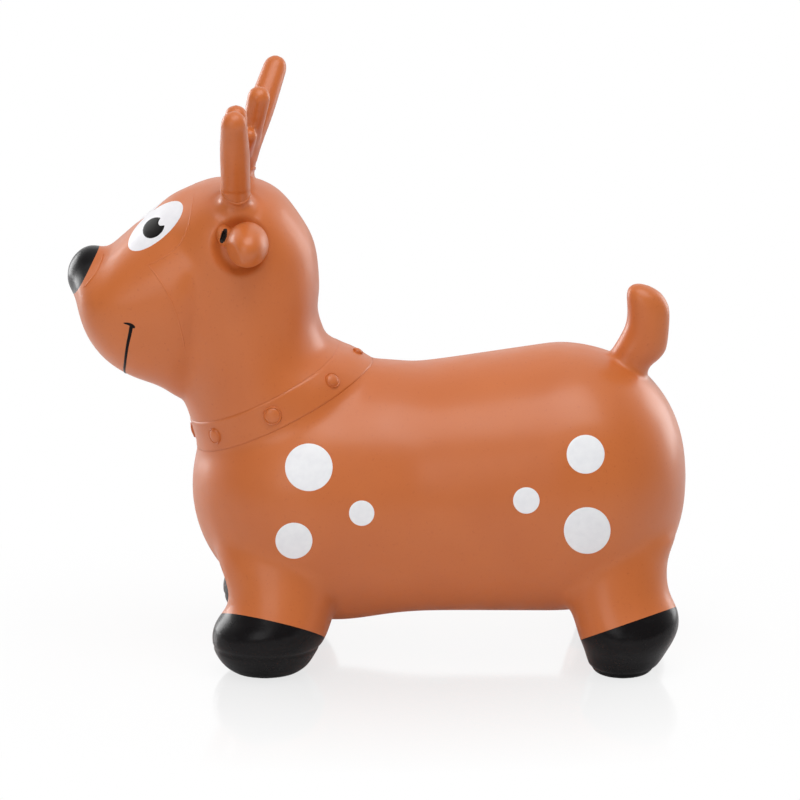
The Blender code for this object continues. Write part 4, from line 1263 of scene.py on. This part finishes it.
def build_mouth(surface):
    near = seen_path(surface, MOUTH_LINE, MOUTH_STEPS)
    start = (near[-1].x, 0.0, COLLAR_Z + INSIDE_HEAD * HEAD_HEIGHT)
    chin, _ = surface.out(start, (0, 0, -1))
    far = on_side(near, 1)[::-1]
    under = smooth_rows([near[-1], chin, far[0]], CHIN_STEPS)[1:-1]
    path = near + [Vector(p) for p in under] + far
    widths = MOUTH_WIDTH + MOUTH_END_MORE * np.linspace(-1, 1, len(path)) ** 2
    strip("mouth_line_form", BLACK_INK, surface, path, widths, MOUTH_HEIGHT, "mouth_line")
    for name, side in SIDES.items():
        path = on_side(seen_path(surface, MOUTH_HOOK, MOUTH_STEPS), side)
        share = np.linspace(0, 1, len(path))
        swell = np.sin(0.5 * math.pi * share) * np.sqrt(1.02 - share**8)
        widths = HOOK_WIDTH + HOOK_MORE * swell
        strip(name + "_mouth_hook", BLACK_INK, surface, path, widths, HOOK_HEIGHT)


def build_face_lines(surface):
    for line, (height, *pixels) in FACE_LINES.items():
        points = seen_path(surface, pixels, FACE_LINE_STEPS)
        share = np.clip(np.linspace(0, 1, len(points)), *FACE_LINE_ENDS)
        widths = FACE_LINE_WIDTH + FACE_LINE_MORE * np.sqrt(np.sin(math.pi * share))
        for name, side in SIDES.items():
            path = on_side(points, side)
            strip(f"{name}_{line}", BROWN, surface, path, widths, height)


def build_antler_rims(surface):
    """A low moulded bead round each antler's foot."""
    for name, side in SIDES.items():
        path = []
        for angle in turns(RIM_STEPS):
            along, outward = RIM_RADIUS * math.cos(angle), RIM_RADIUS * math.sin(angle)
            z = RIM_Z + RIM_FORE_SLOPE * along + RIM_OUTWARD_SLOPE * outward
            z += RIM_OUTWARD_BEND * outward**2
            path.append(Vector((ANTLER_X + along, side * (ANTLER_Y + outward), z)))
        widths = [RIM_WIDTH] * RIM_STEPS
        strip(name + "_antler_rim", BROWN, surface, path, widths, RIM_HEIGHT, closed=True)


def slit_shape(side):
    """The slit's centre, its radii and how it leans."""
    return sided(SLIT_CENTRE, side), SLIT_RADII, SLIT_TURN


def ear(name, side):
    lobe = ball(sided(EAR_CENTRE, side), EAR_RADII)
    bmesh.ops.bisect_plane(
        lobe,
        geom=list(lobe.verts) + list(lobe.edges) + list(lobe.faces),
        dist=MERGE,
        plane_co=sided(LOBE_CUT_POINT, side),
        plane_no=sided(LOBE_CUT_WAY, side).normalized(),
        clear_outer=True,
    )
    bmesh.ops.holes_fill(lobe, edges=[e for e in lobe.edges if e.is_boundary], sides=0)
    lip = ball(sided(LIP_CENTRE, side), LIP_RADII, LIP_TURN)
    whole = union("ear", [lobe, lip], FINE_VOXEL)
    relax(whole.data, HALFWAY, EAR_ROUNDS)
    cutter = add_object("slit", from_bmesh("slit", ball(*slit_shape(side))))
    baked(whole, "BOOLEAN", operation="DIFFERENCE", object=cutter, solver="EXACT")
    remove(cutter)
    joined = union(name + "_form", [bmesh_of(whole.data)], FINE_VOXEL)
    remove(whole)
    relax(joined.data, HALFWAY, SLIT_ROUNDS)
    joined.data.shade_smooth()
    return joined


def build_ears():
    for side_name, side in SIDES.items():
        name = side_name + "_ear"
        piece = ear(name, side)
        centre, radii, turn = slit_shape(side)
        local = (read(piece.data.polygons, "center", 3) - np.array(centre)) @ np.array(turn)
        inside = ((local / (np.array(radii) + LINING_REACH)) ** 2).sum(axis=1) < 1.0
        lining = lining_piece(name + "_lining_form", piece.data, np.flatnonzero(inside))
        dress(piece, BROWN, name)
        dress(lining, LINING, name + "_lining")


def lining_piece(name, mesh, faces):
    """A thin closed film over some faces of a mesh."""
    layer = mesh.attributes.new("whole_normal", "FLOAT_VECTOR", "POINT")
    layer.data.foreach_set("vector", normals_of(mesh).ravel())
    film = shell_piece(name, mesh, faces, LINING_WALL)
    mesh.attributes.remove(mesh.attributes["whole_normal"])
    co = places_of(film.data)
    outside, inside = np.split(co, 2)
    way = outside - inside
    way /= np.linalg.norm(way, axis=1)[:, None]
    put_places(film.data, co + np.vstack([way, way]) * LINING_LIFT)
    return film


def turned(name, profile, centre):
    """A turned piece about the vertical through a point."""
    x, y, z = centre
    points = [
        (x + r * math.cos(t), y + r * math.sin(t), z + rise)
        for r, rise in profile
        for t in turns(TURNED_SIDES)
    ]
    faces = grid_faces(len(profile), TURNED_SIDES, True, True)
    return finished(name, points, faces, sharp_deg=40)


def build_valve():
    low, high = (Vector(c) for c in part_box("valve_seat"))
    centre = ((low.x + high.x) / 2, (low.y + high.y) / 2, low.z)
    seat = turned("valve_seat_form", SEAT_PROFILE, centre)
    dress(seat, BROWN, "valve_seat")
    plug = turned("valve_plug_form", PLUG_PROFILE, centre)
    dress(plug, STOPPER, "valve_plug", body="plug_body")


# The studio


def link(name, data, place, turn):
    """An object of its own kind of data, at a place and turned."""
    obj = add_object(name, data)
    obj.matrix_world = Matrix.Translation(place) @ turn.to_4x4()
    return obj


def build_studio():
    scene = bpy.context.scene
    scene.view_settings.view_transform = "Standard"
    place, right, up, forward = camera_frame()
    data = bpy.data.cameras.new("photo_camera")
    data.sensor_width = SENSOR
    data.lens = PIXELS_PER_METRE * CAMERA_DISTANCE / PICTURE * SENSOR
    turn = Matrix(np.stack([right, up, -forward], 1).tolist())
    scene.camera = link("photo_camera", data, place, turn)

    reach = FLOOR_REACH
    corners = [(-reach, -reach, 0), (reach, -reach, 0), (reach, reach, 0), (-reach, reach, 0)]
    floor = add_object("studio_floor", new_mesh("studio_floor", corners, [(0, 1, 2, 3)]))
    floor.data.materials.append(floor_material())

    # The backdrop is white to the camera; reflections see it white behind the deer, dim in front
    scene.world = bpy.data.worlds.new("studio_white")
    sky = Nodes(scene.world)
    ray = sky.add("LightPath")
    parted = sky.add("SeparateXYZ", {0: sky.add("TexCoord")["Generated"]})
    level = sky.span(parted["Y"], *MIRRORED, interpolation_type="SMOOTHSTEP")
    inputs = {"Factor": ray["Is Glossy Ray"], "A": WORLD_LIGHT, "B": level}
    inputs = {"Factor": ray["Is Camera Ray"], "A": sky.add("Mix", inputs)["Result"], "B": 1.0}
    background = sky.nodes["Background"]
    background.inputs["Color"].default_value = PLAIN_WHITE
    sky.put(background.inputs["Strength"], sky.add("Mix", inputs)["Result"])

    for name, where, size, power in LAMPS:
        lamp = bpy.data.lights.new(name, "AREA")
        lamp.shape = "RECTANGLE"
        lamp.size, lamp.size_y = size
        lamp.energy = power
        aim = LAMP_AIM - Vector(where)
        link(name, lamp, where, aim.to_track_quat("-Z", "Y").to_matrix())


def floor_material():
    """Bright acrylic: the camera sees it nearly white, with a faint shadow and reflection."""
    m = Material("studio_floor_white")
    m.set(Base_Color=m.mottle(srgb(243, 242, 243), srgb(245, 244, 245), 2.0, 2.0))
    m.set(Roughness=m.span(m.noise(5.0, 2.0), 0.55, 0.60), Specular_IOR_Level=0.0)
    squeeze = {0: m.place, 1: (1.0, FLOOR_FADE_ASPECT, 1.0)}
    squeezed = m.add("VectorMath", squeeze, operation="MULTIPLY")[0]
    apart = m.add("VectorMath", {0: squeezed}, operation="LENGTH")["Value"]

    def product(first, second):
        return m.add("Math", {0: first, 1: second}, operation="MULTIPLY")[0]

    far = m.span(apart, FLOOR_GLOW_NEAR, 1.0, *FLOOR_FADE)
    glow = m.add("Emission", {"Strength": 1.0})[0]
    lit = product(far, m.add("LightPath")["Is Camera Ray"])
    base = m.add("MixShader", {0: lit, 1: m.shader.outputs[0], 2: glow})[0]
    rough = m.span(m.noise(5.0, 2.0), *FLOOR_GLOSS_ROUGH)
    gloss = m.add("BsdfGlossy", {"Color": PLAIN_WHITE, "Roughness": rough})[0]
    sheen = m.add("Fresnel", {"IOR": FLOOR_GLOSS_IOR})[0]
    polish = product(sheen, m.span(apart, 1.0, 0.0, *FLOOR_FADE))
    mixed = m.add("MixShader", {0: polish, 1: base, 2: gloss})[0]
    m.put(m.nodes["Material Output"].inputs["Surface"], mixed)
    return m.made


def main():
    build_studio()
    skin = skin_mesh()
    surface = Surface(skin.data)
    build_skin(skin)
    build_collar(surface)
    build_prints(surface)
    build_mouth(surface)
    build_face_lines(surface)
    build_antler_rims(surface)
    build_ears()
    build_valve()
    remove(skin)


main()
